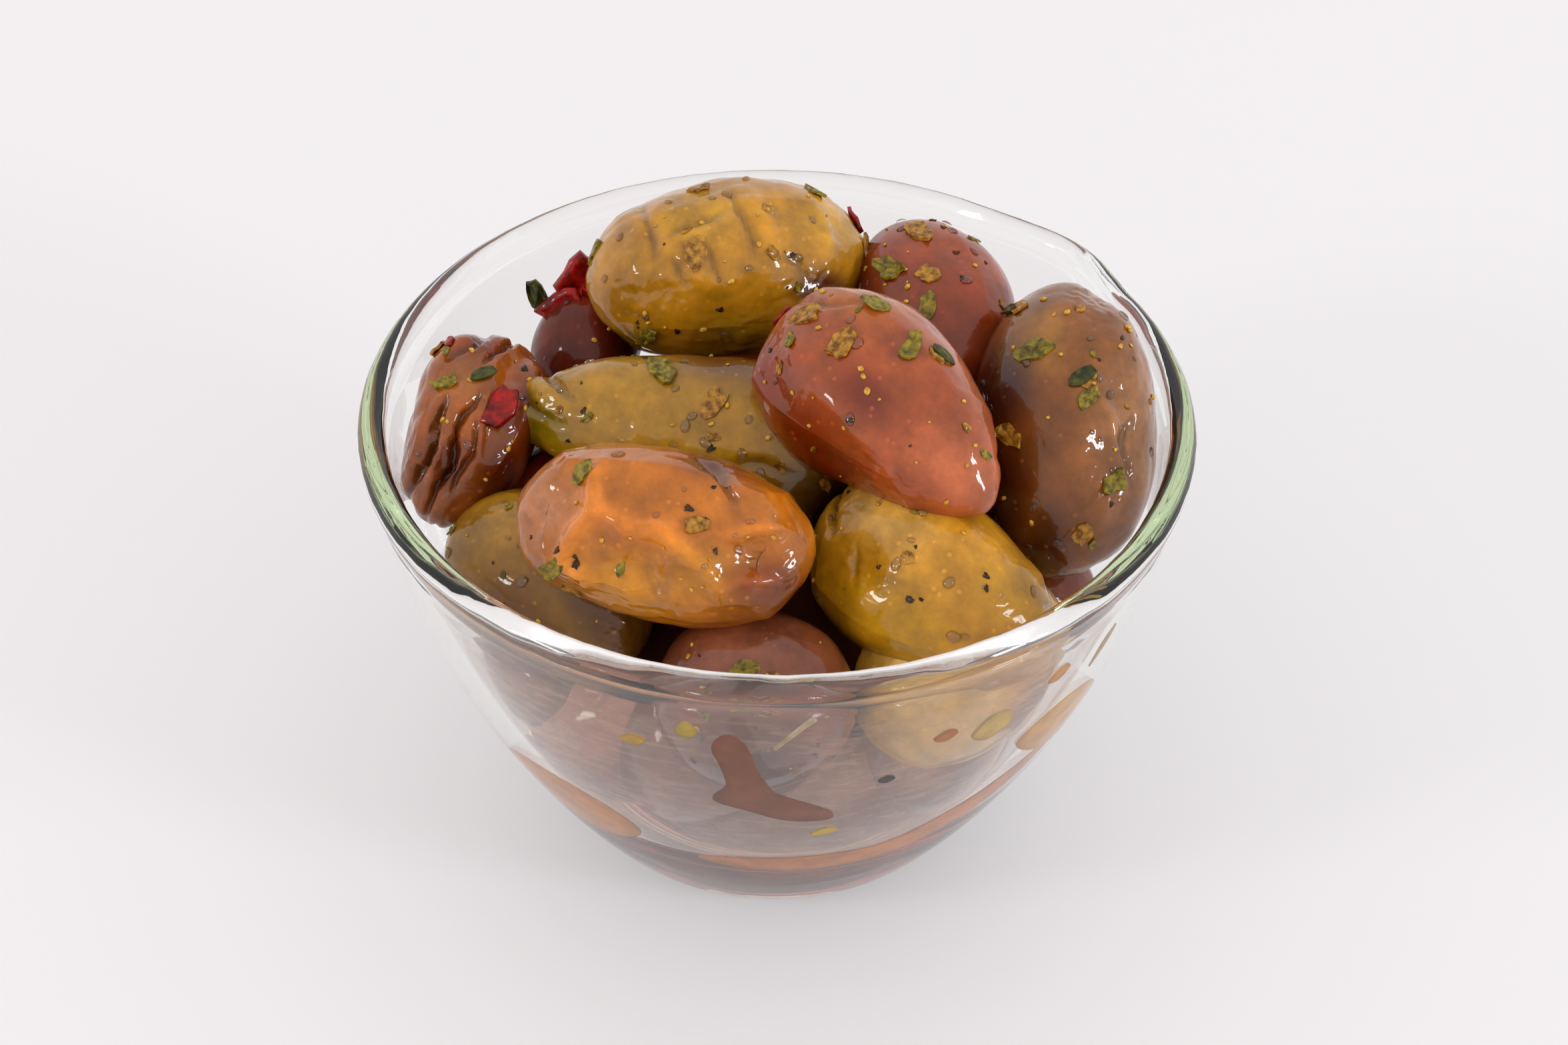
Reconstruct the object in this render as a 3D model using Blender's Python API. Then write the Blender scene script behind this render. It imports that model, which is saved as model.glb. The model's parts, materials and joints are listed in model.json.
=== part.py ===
"""A small clear glass bowl with a pouring lip, heaped with marinated olives.

Three solids share one frame: the turned glass bowl, the pool of marinade oil in
its foot, and the heap of olives as one solid out to its uneven outline. The
origin is the centre of the bowl's flat foot, +Z is up, and the pouring lip
points to the back right. Everything is in metres.
"""

import math
from collections import namedtuple

import bmesh
import bpy
from mathutils import Matrix, Vector

MM = 0.001

# The bowl's outside: a flat foot, a small heel arc and one long side arc.
RIM_RADIUS = 45.0 * MM
FOOT_RADIUS = 16.0 * MM
HEEL_RADIUS = 10.0 * MM
HEEL_END = math.radians(52.6)
SIDE_END = math.radians(82.8)

# The glass: thick in the foot, thinner up the side, with a fire-polished rim bead.
FLOOR_THICKNESS = 4.6 * MM
WALL_THICKNESS = 2.5 * MM
THICK_FOOT_HEIGHT = 16.0 * MM
BEAD_RADIUS = 1.55 * MM
NECK_INSET = 0.35 * MM

# The pouring lip, drawn out and slightly down from the rim.
LIP_DIRECTION = math.radians(43.0)
LIP_HALF_WIDTH = math.radians(14.0)
LIP_REACH = 2.2 * MM
LIP_DROP = 0.9 * MM
LIP_DEPTH = 14.0 * MM

# The contents.
OIL_LEVEL = 15.0 * MM
FIT_GAP = 0.3 * MM
CORE_INSET = 8.0 * MM
CORE_TOP = 48.5 * MM
CORE_FLAT_RADIUS = 21.0 * MM
CORE_SHOULDER = 38.0 * MM

BOWL_SEGMENTS = 66
OIL_SEGMENTS = 44
CORE_SEGMENTS = 28
HEEL_STEPS = 4
SIDE_STEPS = 9
BEAD_STEPS = 8
OLIVE_RINGS = 9
OLIVE_SEGMENTS = 13

# An olive lies at a direction round the bowl's axis in degrees, at a fraction of
# the rim radius out from it and at a fraction of the bowl's height. Its length and
# girth are in millimetres, heading and pitch turn its long axis, and the point is
# how far its far end is drawn to a tip.
Olive = namedtuple("Olive", "around out up length girth heading pitch point")

OLIVES = (
    # The top of the heap.
    Olive(104, 0.54, 1.01, 32.0, 20.0, 13, 0, 0.10),
    Olive(50, 0.61, 0.93, 24.0, 17.0, -69, -4, 0.05),
    Olive(-25, 0.28, 1.07, 31.0, 19.5, -48, -5, 0.45),
    Olive(6, 0.71, 0.90, 32.0, 18.0, 88, 32, 0.05),
    Olive(169, 0.24, 0.88, 37.0, 17.0, 156, 0, 0.40),
    Olive(133, 0.70, 0.83, 17.0, 11.0, 66, 9, 0.10),
    Olive(175, 0.75, 0.87, 23.0, 14.0, 70, 21, 0.05),
    Olive(-121, 0.52, 0.97, 30.5, 17.0, -14, 0, 0.10),
    Olive(-46, 0.52, 0.81, 27.0, 18.5, -36, -5, 0.25),
    # Those below them, against the glass.
    Olive(-151, 0.60, 0.74, 25.0, 17.0, -42, -5, 0.15),
    Olive(-94, 0.61, 0.69, 21.0, 18.0, 1, 0, 0.00),
    Olive(-8, 0.63, 0.56, 16.0, 14.0, 43, 0, 0.00),
    Olive(39, 0.64, 0.66, 23.0, 16.0, -50, 10, 0.10),
    Olive(82, 0.64, 0.71, 24.0, 16.0, 10, 5, 0.10),
    # The middle of the heap.
    Olive(-131, 0.51, 0.46, 26.0, 18.0, -20, 5, 0.10),
    Olive(-37, 0.47, 0.38, 25.0, 18.0, 70, 10, 0.10),
    Olive(176, 0.56, 0.50, 25.0, 17.0, 80, -10, 0.10),
    Olive(-166, 0.15, 0.58, 25.0, 17.0, 20, 15, 0.10),
    Olive(37, 0.32, 0.54, 26.0, 18.0, -35, -5, 0.10),
    Olive(123, 0.52, 0.54, 25.0, 18.0, 15, 0, 0.10),
)


def side_curve(inset_foot=0.0, inset_rim=0.0, lowest=0.0):
    """Points (radius, height) up the heel and the side, moved inwards by an inset.

    The inset shrinks from the foot's value to the rim's over THICK_FOOT_HEIGHT.
    """
    side_radius = (RIM_RADIUS - FOOT_RADIUS - HEEL_RADIUS * math.sin(HEEL_END)) / (
        math.sin(SIDE_END) - math.sin(HEEL_END)
    )
    heel_top = Vector((FOOT_RADIUS + HEEL_RADIUS * math.sin(HEEL_END),
                       HEEL_RADIUS * (1.0 - math.cos(HEEL_END))))
    curve = []
    for step in range(HEEL_STEPS + 1):
        turn = HEEL_END * step / HEEL_STEPS
        curve.append((turn, Vector((FOOT_RADIUS + HEEL_RADIUS * math.sin(turn),
                                    HEEL_RADIUS * (1.0 - math.cos(turn))))))
    for step in range(1, SIDE_STEPS + 1):
        turn = HEEL_END + (SIDE_END - HEEL_END) * step / SIDE_STEPS
        rise = Vector((math.sin(turn) - math.sin(HEEL_END),
                       math.cos(HEEL_END) - math.cos(turn)))
        curve.append((turn, heel_top + side_radius * rise))
    points = []
    for turn, point in curve:
        blend = min(1.0, point.y / THICK_FOOT_HEIGHT)
        inset = inset_foot + (inset_rim - inset_foot) * blend
        inwards = Vector((-math.sin(turn), math.cos(turn)))
        moved = point + inset * inwards
        if moved.y >= lowest - 1e-9:
            points.append(moved)
    return points


def bowl_height():
    return side_curve()[-1].y


def cut_at_height(points, height):
    """The curve up to a height, with its last point on that height."""
    kept = [point for point in points if point.y < height - 1e-6]
    above = next(point for point in points if point.y >= height - 1e-6)
    share = (height - kept[-1].y) / (above.y - kept[-1].y)
    return kept + [kept[-1].lerp(above, share)]


def bowl_profile():
    """The glass section from the foot's edge, up the outside, over the bead and in."""
    height = bowl_height()
    bead = Vector((RIM_RADIUS - BEAD_RADIUS, height - BEAD_RADIUS))
    neck = height - 2.4 * BEAD_RADIUS
    outside = cut_at_height(side_curve(0.0, NECK_INSET), neck)
    first, last = math.radians(-50.0), math.radians(228.0)
    rim = []
    for step in range(BEAD_STEPS + 1):
        turn = first + (last - first) * step / BEAD_STEPS
        rim.append(bead + BEAD_RADIUS * Vector((math.cos(turn), math.sin(turn))))
    inside = cut_at_height(side_curve(FLOOR_THICKNESS, WALL_THICKNESS), neck)
    return outside + rim + inside[::-1]


def contents_curve(clearance):
    """The inside of the glass, moved inwards by a clearance."""
    return side_curve(FLOOR_THICKNESS + clearance, WALL_THICKNESS + clearance)


def lip_shift(direction, height):
    """How far the pouring lip moves glass out and down at a direction and height."""
    off = abs((direction - LIP_DIRECTION + math.pi) % (2.0 * math.pi) - math.pi)
    if off >= LIP_HALF_WIDTH:
        return 0.0, 0.0
    across = 0.5 + 0.5 * math.cos(math.pi * off / LIP_HALF_WIDTH)
    rise = max(0.0, 1.0 - (bowl_height() - height) / LIP_DEPTH)
    share = across * rise * rise
    return LIP_REACH * share, LIP_DROP * share


def turned_solid(name, profile, segments, with_lip=False):
    """A closed solid turned round Z from a profile that starts and ends off the axis."""
    bm = bmesh.new()
    rings = []
    for point in profile:
        ring = []
        for index in range(segments):
            direction = 2.0 * math.pi * index / segments
            out, down = lip_shift(direction, point.y) if with_lip else (0.0, 0.0)
            radius = point.x + out
            ring.append(bm.verts.new((radius * math.cos(direction),
                                      radius * math.sin(direction),
                                      point.y - down)))
        rings.append(ring)
    for lower, upper in zip(rings, rings[1:]):
        for index in range(segments):
            after = (index + 1) % segments
            bm.faces.new((lower[index], lower[after], upper[after], upper[index]))
    for ring, height in ((rings[0], profile[0].y), (rings[-1], profile[-1].y)):
        centre = bm.verts.new((0.0, 0.0, height))
        for index in range(segments):
            bm.faces.new((ring[index], centre, ring[(index + 1) % segments]))
    bmesh.ops.recalc_face_normals(bm, faces=bm.faces)
    return object_from(name, bm)


def object_from(name, bm):
    mesh = bpy.data.meshes.new(name)
    bm.to_mesh(mesh)
    bm.free()
    obj = bpy.data.objects.new(name, mesh)
    bpy.context.scene.collection.objects.link(obj)
    return obj


def olive_centre(olive):
    direction = math.radians(olive.around)
    out = olive.out * RIM_RADIUS
    return Vector((out * math.cos(direction), out * math.sin(direction),
                   olive.up * bowl_height()))


def olive_solid(name, olive):
    """One olive: an egg form along its long axis, drawn to a tip at its far end."""
    bm = bmesh.new()
    bmesh.ops.create_uvsphere(bm, u_segments=OLIVE_SEGMENTS, v_segments=OLIVE_RINGS,
                              radius=1.0)
    half_length = 0.5 * olive.length * MM
    half_girth = 0.5 * olive.girth * MM
    for vert in bm.verts:
        along = vert.co.z
        far = max(0.0, along)
        slim = 1.0 - olive.point * far * far
        vert.co = Vector((along * half_length, vert.co.x * half_girth * slim,
                          vert.co.y * half_girth * slim))
    turn = Matrix.Rotation(math.radians(olive.heading), 4, "Z")
    lift = Matrix.Rotation(-math.radians(olive.pitch), 4, "Y")
    bm.transform(Matrix.Translation(olive_centre(olive)) @ turn @ lift)
    bmesh.ops.recalc_face_normals(bm, faces=bm.faces)
    return object_from(name, bm)


def core_profile():
    """The middle of the heap, which the olives lie against, with a flat top."""
    inside = contents_curve(CORE_INSET)
    floor = OIL_LEVEL + FIT_GAP
    side = [point for point in cut_at_height(inside, CORE_SHOULDER) if point.y > floor]
    share = (floor - inside[0].y) / (side[0].y - inside[0].y)
    return [inside[0].lerp(side[0], share)] + side + [Vector((CORE_FLAT_RADIUS, CORE_TOP))]


def apply_boolean(obj, operation, cutters):
    """Joins to or keeps within the cutters, which are then removed."""
    group = bpy.data.collections.new("cutters")
    bpy.context.scene.collection.children.link(group)
    for cutter in cutters:
        cutter.hide_render = True
        cutter.display_type = "WIRE"
        group.objects.link(cutter)
    modifier = obj.modifiers.new(operation.title(), "BOOLEAN")
    modifier.operation = operation
    modifier.operand_type = "COLLECTION"
    modifier.collection = group
    modifier.solver = "EXACT"
    modifier.use_self = True
    bpy.context.view_layer.update()
    graph = bpy.context.evaluated_depsgraph_get()
    mesh = bpy.data.meshes.new_from_object(obj.evaluated_get(graph))
    obj.modifiers.clear()
    obj.data = mesh
    for cutter in cutters:
        bpy.data.objects.remove(cutter)
    bpy.data.collections.remove(group)


def keep_largest_skin(obj):
    """Removes the closed pockets that are left between the core and the olives."""
    bm = bmesh.new()
    bm.from_mesh(obj.data)
    left = set(bm.verts)
    skins = []
    while left:
        skin, front = set(), [left.pop()]
        while front:
            vert = front.pop()
            skin.add(vert)
            for edge in vert.link_edges:
                other = edge.other_vert(vert)
                if other in left:
                    left.remove(other)
                    front.append(other)
        skins.append(skin)
    skins.sort(key=len)
    for skin in skins[:-1]:
        bmesh.ops.delete(bm, geom=list(skin), context="VERTS")
    bmesh.ops.triangulate(bm, faces=bm.faces)
    bm.to_mesh(obj.data)
    bm.free()


def make_olive_heap():
    heap = turned_solid("olive_heap", core_profile(), CORE_SEGMENTS)
    olives = [olive_solid(f"olive_form_{number}", olive)
              for number, olive in enumerate(OLIVES)]
    apply_boolean(heap, "UNION", olives)
    floor = OIL_LEVEL + FIT_GAP
    inside = contents_curve(FIT_GAP)
    room = [point for point in inside if point.y > floor]
    share = (floor - inside[0].y) / (room[0].y - inside[0].y)
    start = inside[0].lerp(room[0], share)
    above = Vector((room[-1].x, bowl_height() + RIM_RADIUS))
    space = turned_solid("room_in_bowl", [start] + room + [above], BOWL_SEGMENTS)
    apply_boolean(heap, "INTERSECT", [space])
    keep_largest_skin(heap)
    return heap


def make_marinade_oil():
    profile = cut_at_height(contents_curve(FIT_GAP), OIL_LEVEL)
    return turned_solid("marinade_oil", profile, OIL_SEGMENTS)


def make_glass_bowl():
    return turned_solid("glass_bowl", bowl_profile(), BOWL_SEGMENTS, with_lip=True)


def give_material(obj, name, colour, roughness, transmission=0.0, ior=1.45):
    material = bpy.data.materials.new(name)
    material.use_nodes = True
    shader = material.node_tree.nodes["Principled BSDF"]
    shader.inputs["Base Color"].default_value = (*colour, 1.0)
    shader.inputs["Metallic"].default_value = 0.0
    shader.inputs["Roughness"].default_value = roughness
    shader.inputs["Transmission Weight"].default_value = transmission
    shader.inputs["IOR"].default_value = ior
    obj.data.materials.clear()
    obj.data.materials.append(material)


def smooth(obj, angle):
    obj.data.shade_smooth()
    obj.data.set_sharp_from_angle(angle=math.radians(angle))


def main():
    for obj in list(bpy.data.objects):
        bpy.data.objects.remove(obj)
    bowl = make_glass_bowl()
    oil = make_marinade_oil()
    heap = make_olive_heap()
    give_material(bowl, "Clear soda-lime glass", (0.90, 0.93, 0.91), 0.03, 1.0, 1.52)
    give_material(oil, "Olive oil marinade", (0.30, 0.13, 0.03), 0.10, 0.4, 1.47)
    give_material(heap, "Marinated olives", (0.23, 0.10, 0.03), 0.28)
    for obj, angle in ((bowl, 40.0), (oil, 40.0), (heap, 35.0)):
        smooth(obj, angle)


main()
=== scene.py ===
"""Looks of a small clear glass bowl heaped with marinated olives.

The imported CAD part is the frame: the glass bowl, the olive heap and the pool of
marinade oil. Each is replaced here by finer pieces in the same place, and herbs,
chilli, seed crumbs, oil beads and oil smears are added. Everything is in metres.
"""

import json
import math
import random
from collections import namedtuple

import bmesh
import bpy
import numpy as np
from mathutils import Matrix, Quaternion, Vector
from mathutils.bvhtree import BVHTree

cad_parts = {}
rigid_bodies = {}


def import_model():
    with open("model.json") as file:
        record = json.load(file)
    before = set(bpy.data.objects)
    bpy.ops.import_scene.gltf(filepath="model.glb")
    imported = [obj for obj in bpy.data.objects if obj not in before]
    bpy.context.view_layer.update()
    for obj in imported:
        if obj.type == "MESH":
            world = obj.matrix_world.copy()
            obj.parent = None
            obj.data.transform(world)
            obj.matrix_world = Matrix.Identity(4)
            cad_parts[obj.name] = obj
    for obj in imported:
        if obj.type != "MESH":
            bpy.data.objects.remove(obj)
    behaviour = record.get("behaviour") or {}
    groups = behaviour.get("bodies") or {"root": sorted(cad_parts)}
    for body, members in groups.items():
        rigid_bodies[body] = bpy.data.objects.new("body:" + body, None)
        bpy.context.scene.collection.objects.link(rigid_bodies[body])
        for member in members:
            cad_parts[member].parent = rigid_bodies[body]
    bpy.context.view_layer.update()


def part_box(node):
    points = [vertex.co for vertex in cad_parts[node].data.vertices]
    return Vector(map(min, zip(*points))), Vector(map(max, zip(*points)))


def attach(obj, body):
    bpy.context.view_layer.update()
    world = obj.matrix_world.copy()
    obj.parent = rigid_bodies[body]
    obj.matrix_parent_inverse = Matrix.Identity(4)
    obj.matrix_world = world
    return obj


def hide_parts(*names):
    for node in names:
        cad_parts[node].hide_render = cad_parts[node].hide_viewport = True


bl_info = {
    "name": "Bowl of Marinated Olives",
    "version": (1, 0, 0),
    "blender": (4, 5, 0),
    "location": "View3D > Sidebar > Olives",
    "description": "Builds a glass bowl of marinated olives around its CAD frame",
    "category": "Add Mesh",
}

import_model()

MM = 0.001
BOWL_LOW, BOWL_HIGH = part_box("glass_bowl")
OIL_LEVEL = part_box("marinade_oil")[1].z
RIM_RADIUS = 0.5 * (BOWL_HIGH.x - BOWL_LOW.x)
BOWL_HEIGHT = BOWL_HIGH.z

# The section of the glass, as the CAD bowl has it.
FOOT_RADIUS = 16.0 * MM
HEEL_RADIUS = 10.0 * MM
HEEL_END = math.radians(52.6)
SIDE_END = math.radians(82.8)
FLOOR_THICKNESS = 4.6 * MM
WALL_THICKNESS = 2.5 * MM
THICK_FOOT_HEIGHT = 16.0 * MM
BEAD_RADIUS = 1.55 * MM
BEAD_START, BEAD_END = math.radians(-50.0), math.radians(228.0)
NECK_INSET = 0.35 * MM
NECK_DEPTH = 2.4 * BEAD_RADIUS
LIP_DIRECTION = math.radians(43.0)
LIP_REACH = 2.2 * MM
LIP_DROP = 0.9 * MM
LIP_SPREAD = 12.0 * MM

MERGE_DISTANCE = 0.002 * MM

# How far the marinade pool reaches into the wall, and how far it climbs it.
POOL_OVERLAP = 0.08 * MM
POOL_CLIMB = 1.2 * MM

# The core under the olives, coloured as painted shade: how far in from the glass it stays.
CORE_INSET = 11.0 * MM

# The oil film on the glass: the directions in degrees that it starts from and turns
# through, where it is centred and how far round it fades out.
FILM_START, FILM_SWEEP = -10.0, 160.0
FILM_MIDDLE, FILM_HALF, FILM_FADE = -90.0, 80.0, 14.0

# Where the bowl is looked at from: over its front, down onto the heap.
CAMERA_ELEVATION = math.radians(40.28)
TO_CAMERA = Vector((0.0, -math.cos(CAMERA_ELEVATION), math.sin(CAMERA_ELEVATION)))
CAMERA_TARGET = Vector((0.87 * MM, 0.0, 38.62 * MM))
CAMERA_DISTANCE = 400.0 * MM
CAMERA_LENS = 83.34
CAMERA_ROLL = math.radians(0.8)

# The lamps stand round the bowl and face LAMP_AIM. Width and height are in metres.
Lamp = namedtuple("Lamp", "name azimuth elevation wide tall radiance colour")
LAMPS = (
    Lamp("key_softbox", -150.0, 27.0, 0.24, 0.24, 16.0, (1.0, 0.97, 0.94)),
    Lamp("window_left_pane", -31.5, 19.0, 0.12, 0.26, 26.0, (0.90, 0.95, 1.0)),
    Lamp("window_right_pane", -24.5, 19.0, 0.12, 0.26, 26.0, (0.90, 0.95, 1.0)),
)
LAMP_DISTANCE = 1.2
LAMP_AIM = Vector((0.0, 0.0, 40.0 * MM))

# An olive lies at a direction round the bowl's axis in degrees, at a fraction of the
# rim radius and of the bowl's height. Length and girth are in millimetres. The taper
# draws in its far end, or its near end where it is negative. Lumps and wrinkles are
# the depth in millimetres of its broad unevenness and of its shrivelled skin. The tip
# is how far the drawn-in end is pulled, outwards and across, in millimetres.
Olive = namedtuple(
    "Olive",
    "name around out up length girth heading pitch skin taper blunt lumps wrinkles tip",
    defaults=(0.10, 0.05, 0.5, 0.20, (0.0, 0.0)),
)

OLIVES = (
    Olive("olive_back_tan", 104, 0.54, 1.01, 32.0, 20.4, 13, 0, "tan_green", 0.08, 0.08, 0.6,
          0.25),
    Olive("olive_back_maroon", 50, 0.61, 0.93, 25.0, 18.2, -69, -4, "maroon", 0.10, 0.05, 0.5,
          0.08),
    Olive("olive_centre_red", -24, 0.29, 1.06, 32.0, 20.6, -46, -5, "brick_red", 0.24, 0.10,
          0.4, 0.12, (5.0, -1.2)),
    Olive("olive_right_brown", 6, 0.697, 0.90, 33.5, 20.4, 88, 32, "umber", 0.04, 0.04, 0.5, 0.15),
    Olive("olive_long_green", 169, 0.24, 0.90, 41.0, 19.2, -11, -9, "olive_drab", -0.34, 0.03,
          0.4, 0.15, (5.0, -2.2)),
    Olive("olive_small_dark", 133, 0.70, 0.83, 17.0, 12.0, 66, 9, "dark_red", 0.10, 0.05, 0.5,
          0.15),
    Olive("olive_left_wrinkled", 175, 0.750, 0.88, 24.0, 14.2, 70, 21, "rust", -0.08, 0.14,
          0.7, 0.35),
    Olive("olive_front_orange", -120, 0.515, 0.97, 32.0, 18.2, -14, 0, "copper", 0.08, 0.16,
          0.6, 0.22),
    Olive("olive_front_gold", -46, 0.525, 0.81, 28.5, 19.4, -36, -5, "gold", 0.22, 0.10, 0.5,
          0.12),
    Olive("olive_low_tan", -151, 0.60, 0.74, 26.0, 17.5, -42, -5, "tan", 0.15, 0.05, 0.5, 0.15),
    Olive("olive_low_plum", -94, 0.61, 0.69, 21.0, 18.0, 1, 0, "plum", 0.05, 0.05, 0.4, 0.10),
    Olive("olive_low_maroon", -8, 0.63, 0.56, 16.0, 14.0, 43, 0, "maroon", 0.05, 0.05, 0.4, 0.10),
    Olive("olive_wall_back_right", 39, 0.64, 0.66, 23.0, 16.0, -50, 10, "tan"),
    Olive("olive_wall_back", 82, 0.64, 0.71, 24.0, 16.0, 10, 5, "plum"),
    Olive("olive_wall_front_left", -130, 0.49, 0.47, 27.0, 19.0, -20, 5, "salmon", 0.10, 0.05,
          0.5, 0.30),
    Olive("olive_wall_front_right", -37, 0.49, 0.42, 25.0, 18.0, 62, 10, "rose_brown"),
    Olive("olive_wall_left", 176, 0.56, 0.50, 25.0, 17.0, 80, -10, "umber"),
    Olive("olive_inner_left", -166, 0.15, 0.58, 25.0, 17.0, 20, 15, "tan"),
    Olive("olive_inner_right", 37, 0.32, 0.54, 26.0, 18.0, -35, -5, "maroon"),
    Olive("olive_inner_back", 123, 0.52, 0.54, 25.0, 18.0, 15, 0, "rust"),
    Olive("olive_under_left", 168, 0.50, 0.70, 24.0, 15.0, 60, 0, "dark_red"),
    Olive("olive_under_middle", 108, 0.26, 0.80, 24.0, 15.0, 10, 0, "dark_red"),
    Olive("olive_wall_right_gold", -42, 0.59, 0.63, 27.0, 18.0, 44, 3, "pale_gold"),
    Olive("olive_wall_front_left_low", -103, 0.50, 0.50, 24.0, 17.0, 20, 5, "dusky_plum"),
    Olive("olive_wall_left_front", -160, 0.60, 0.53, 25.0, 16.0, -76, 0, "dusky_plum", 0.10,
          0.05, 0.4, 0.15),
    Olive("olive_wall_right_front", -14, 0.567, 0.46, 24.0, 15.0, 80, 0, "rose_brown", 0.10,
          0.05, 0.4, 0.15),
    Olive("olive_wall_front_low", -70, 0.43, 0.345, 30.0, 16.0, 12, 8, "rose_brown", 0.10,
          0.05, 0.4, 0.15),
    Olive("olive_wall_front_low_left", -122, 0.36, 0.30, 22.0, 14.0, -30, -8, "dusky_plum",
          0.10, 0.05, 0.4, 0.15),
    Olive("olive_sunk_front", -91, 0.332, 0.252, 25.0, 17.0, 30, -8, "plum"),
    Olive("olive_sunk_left", -166, 0.25, 0.24, 25.0, 16.0, 15, 0, "rust"),
    Olive("olive_sunk_right", 29, 0.29, 0.24, 24.0, 16.0, -40, 0, "tan"),
    Olive("olive_sunk_back", 111, 0.362, 0.27, 22.0, 16.0, 60, 0, "maroon"),
)
TOP_OLIVES = 12  # the first ones in the list, which show above the others
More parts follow.
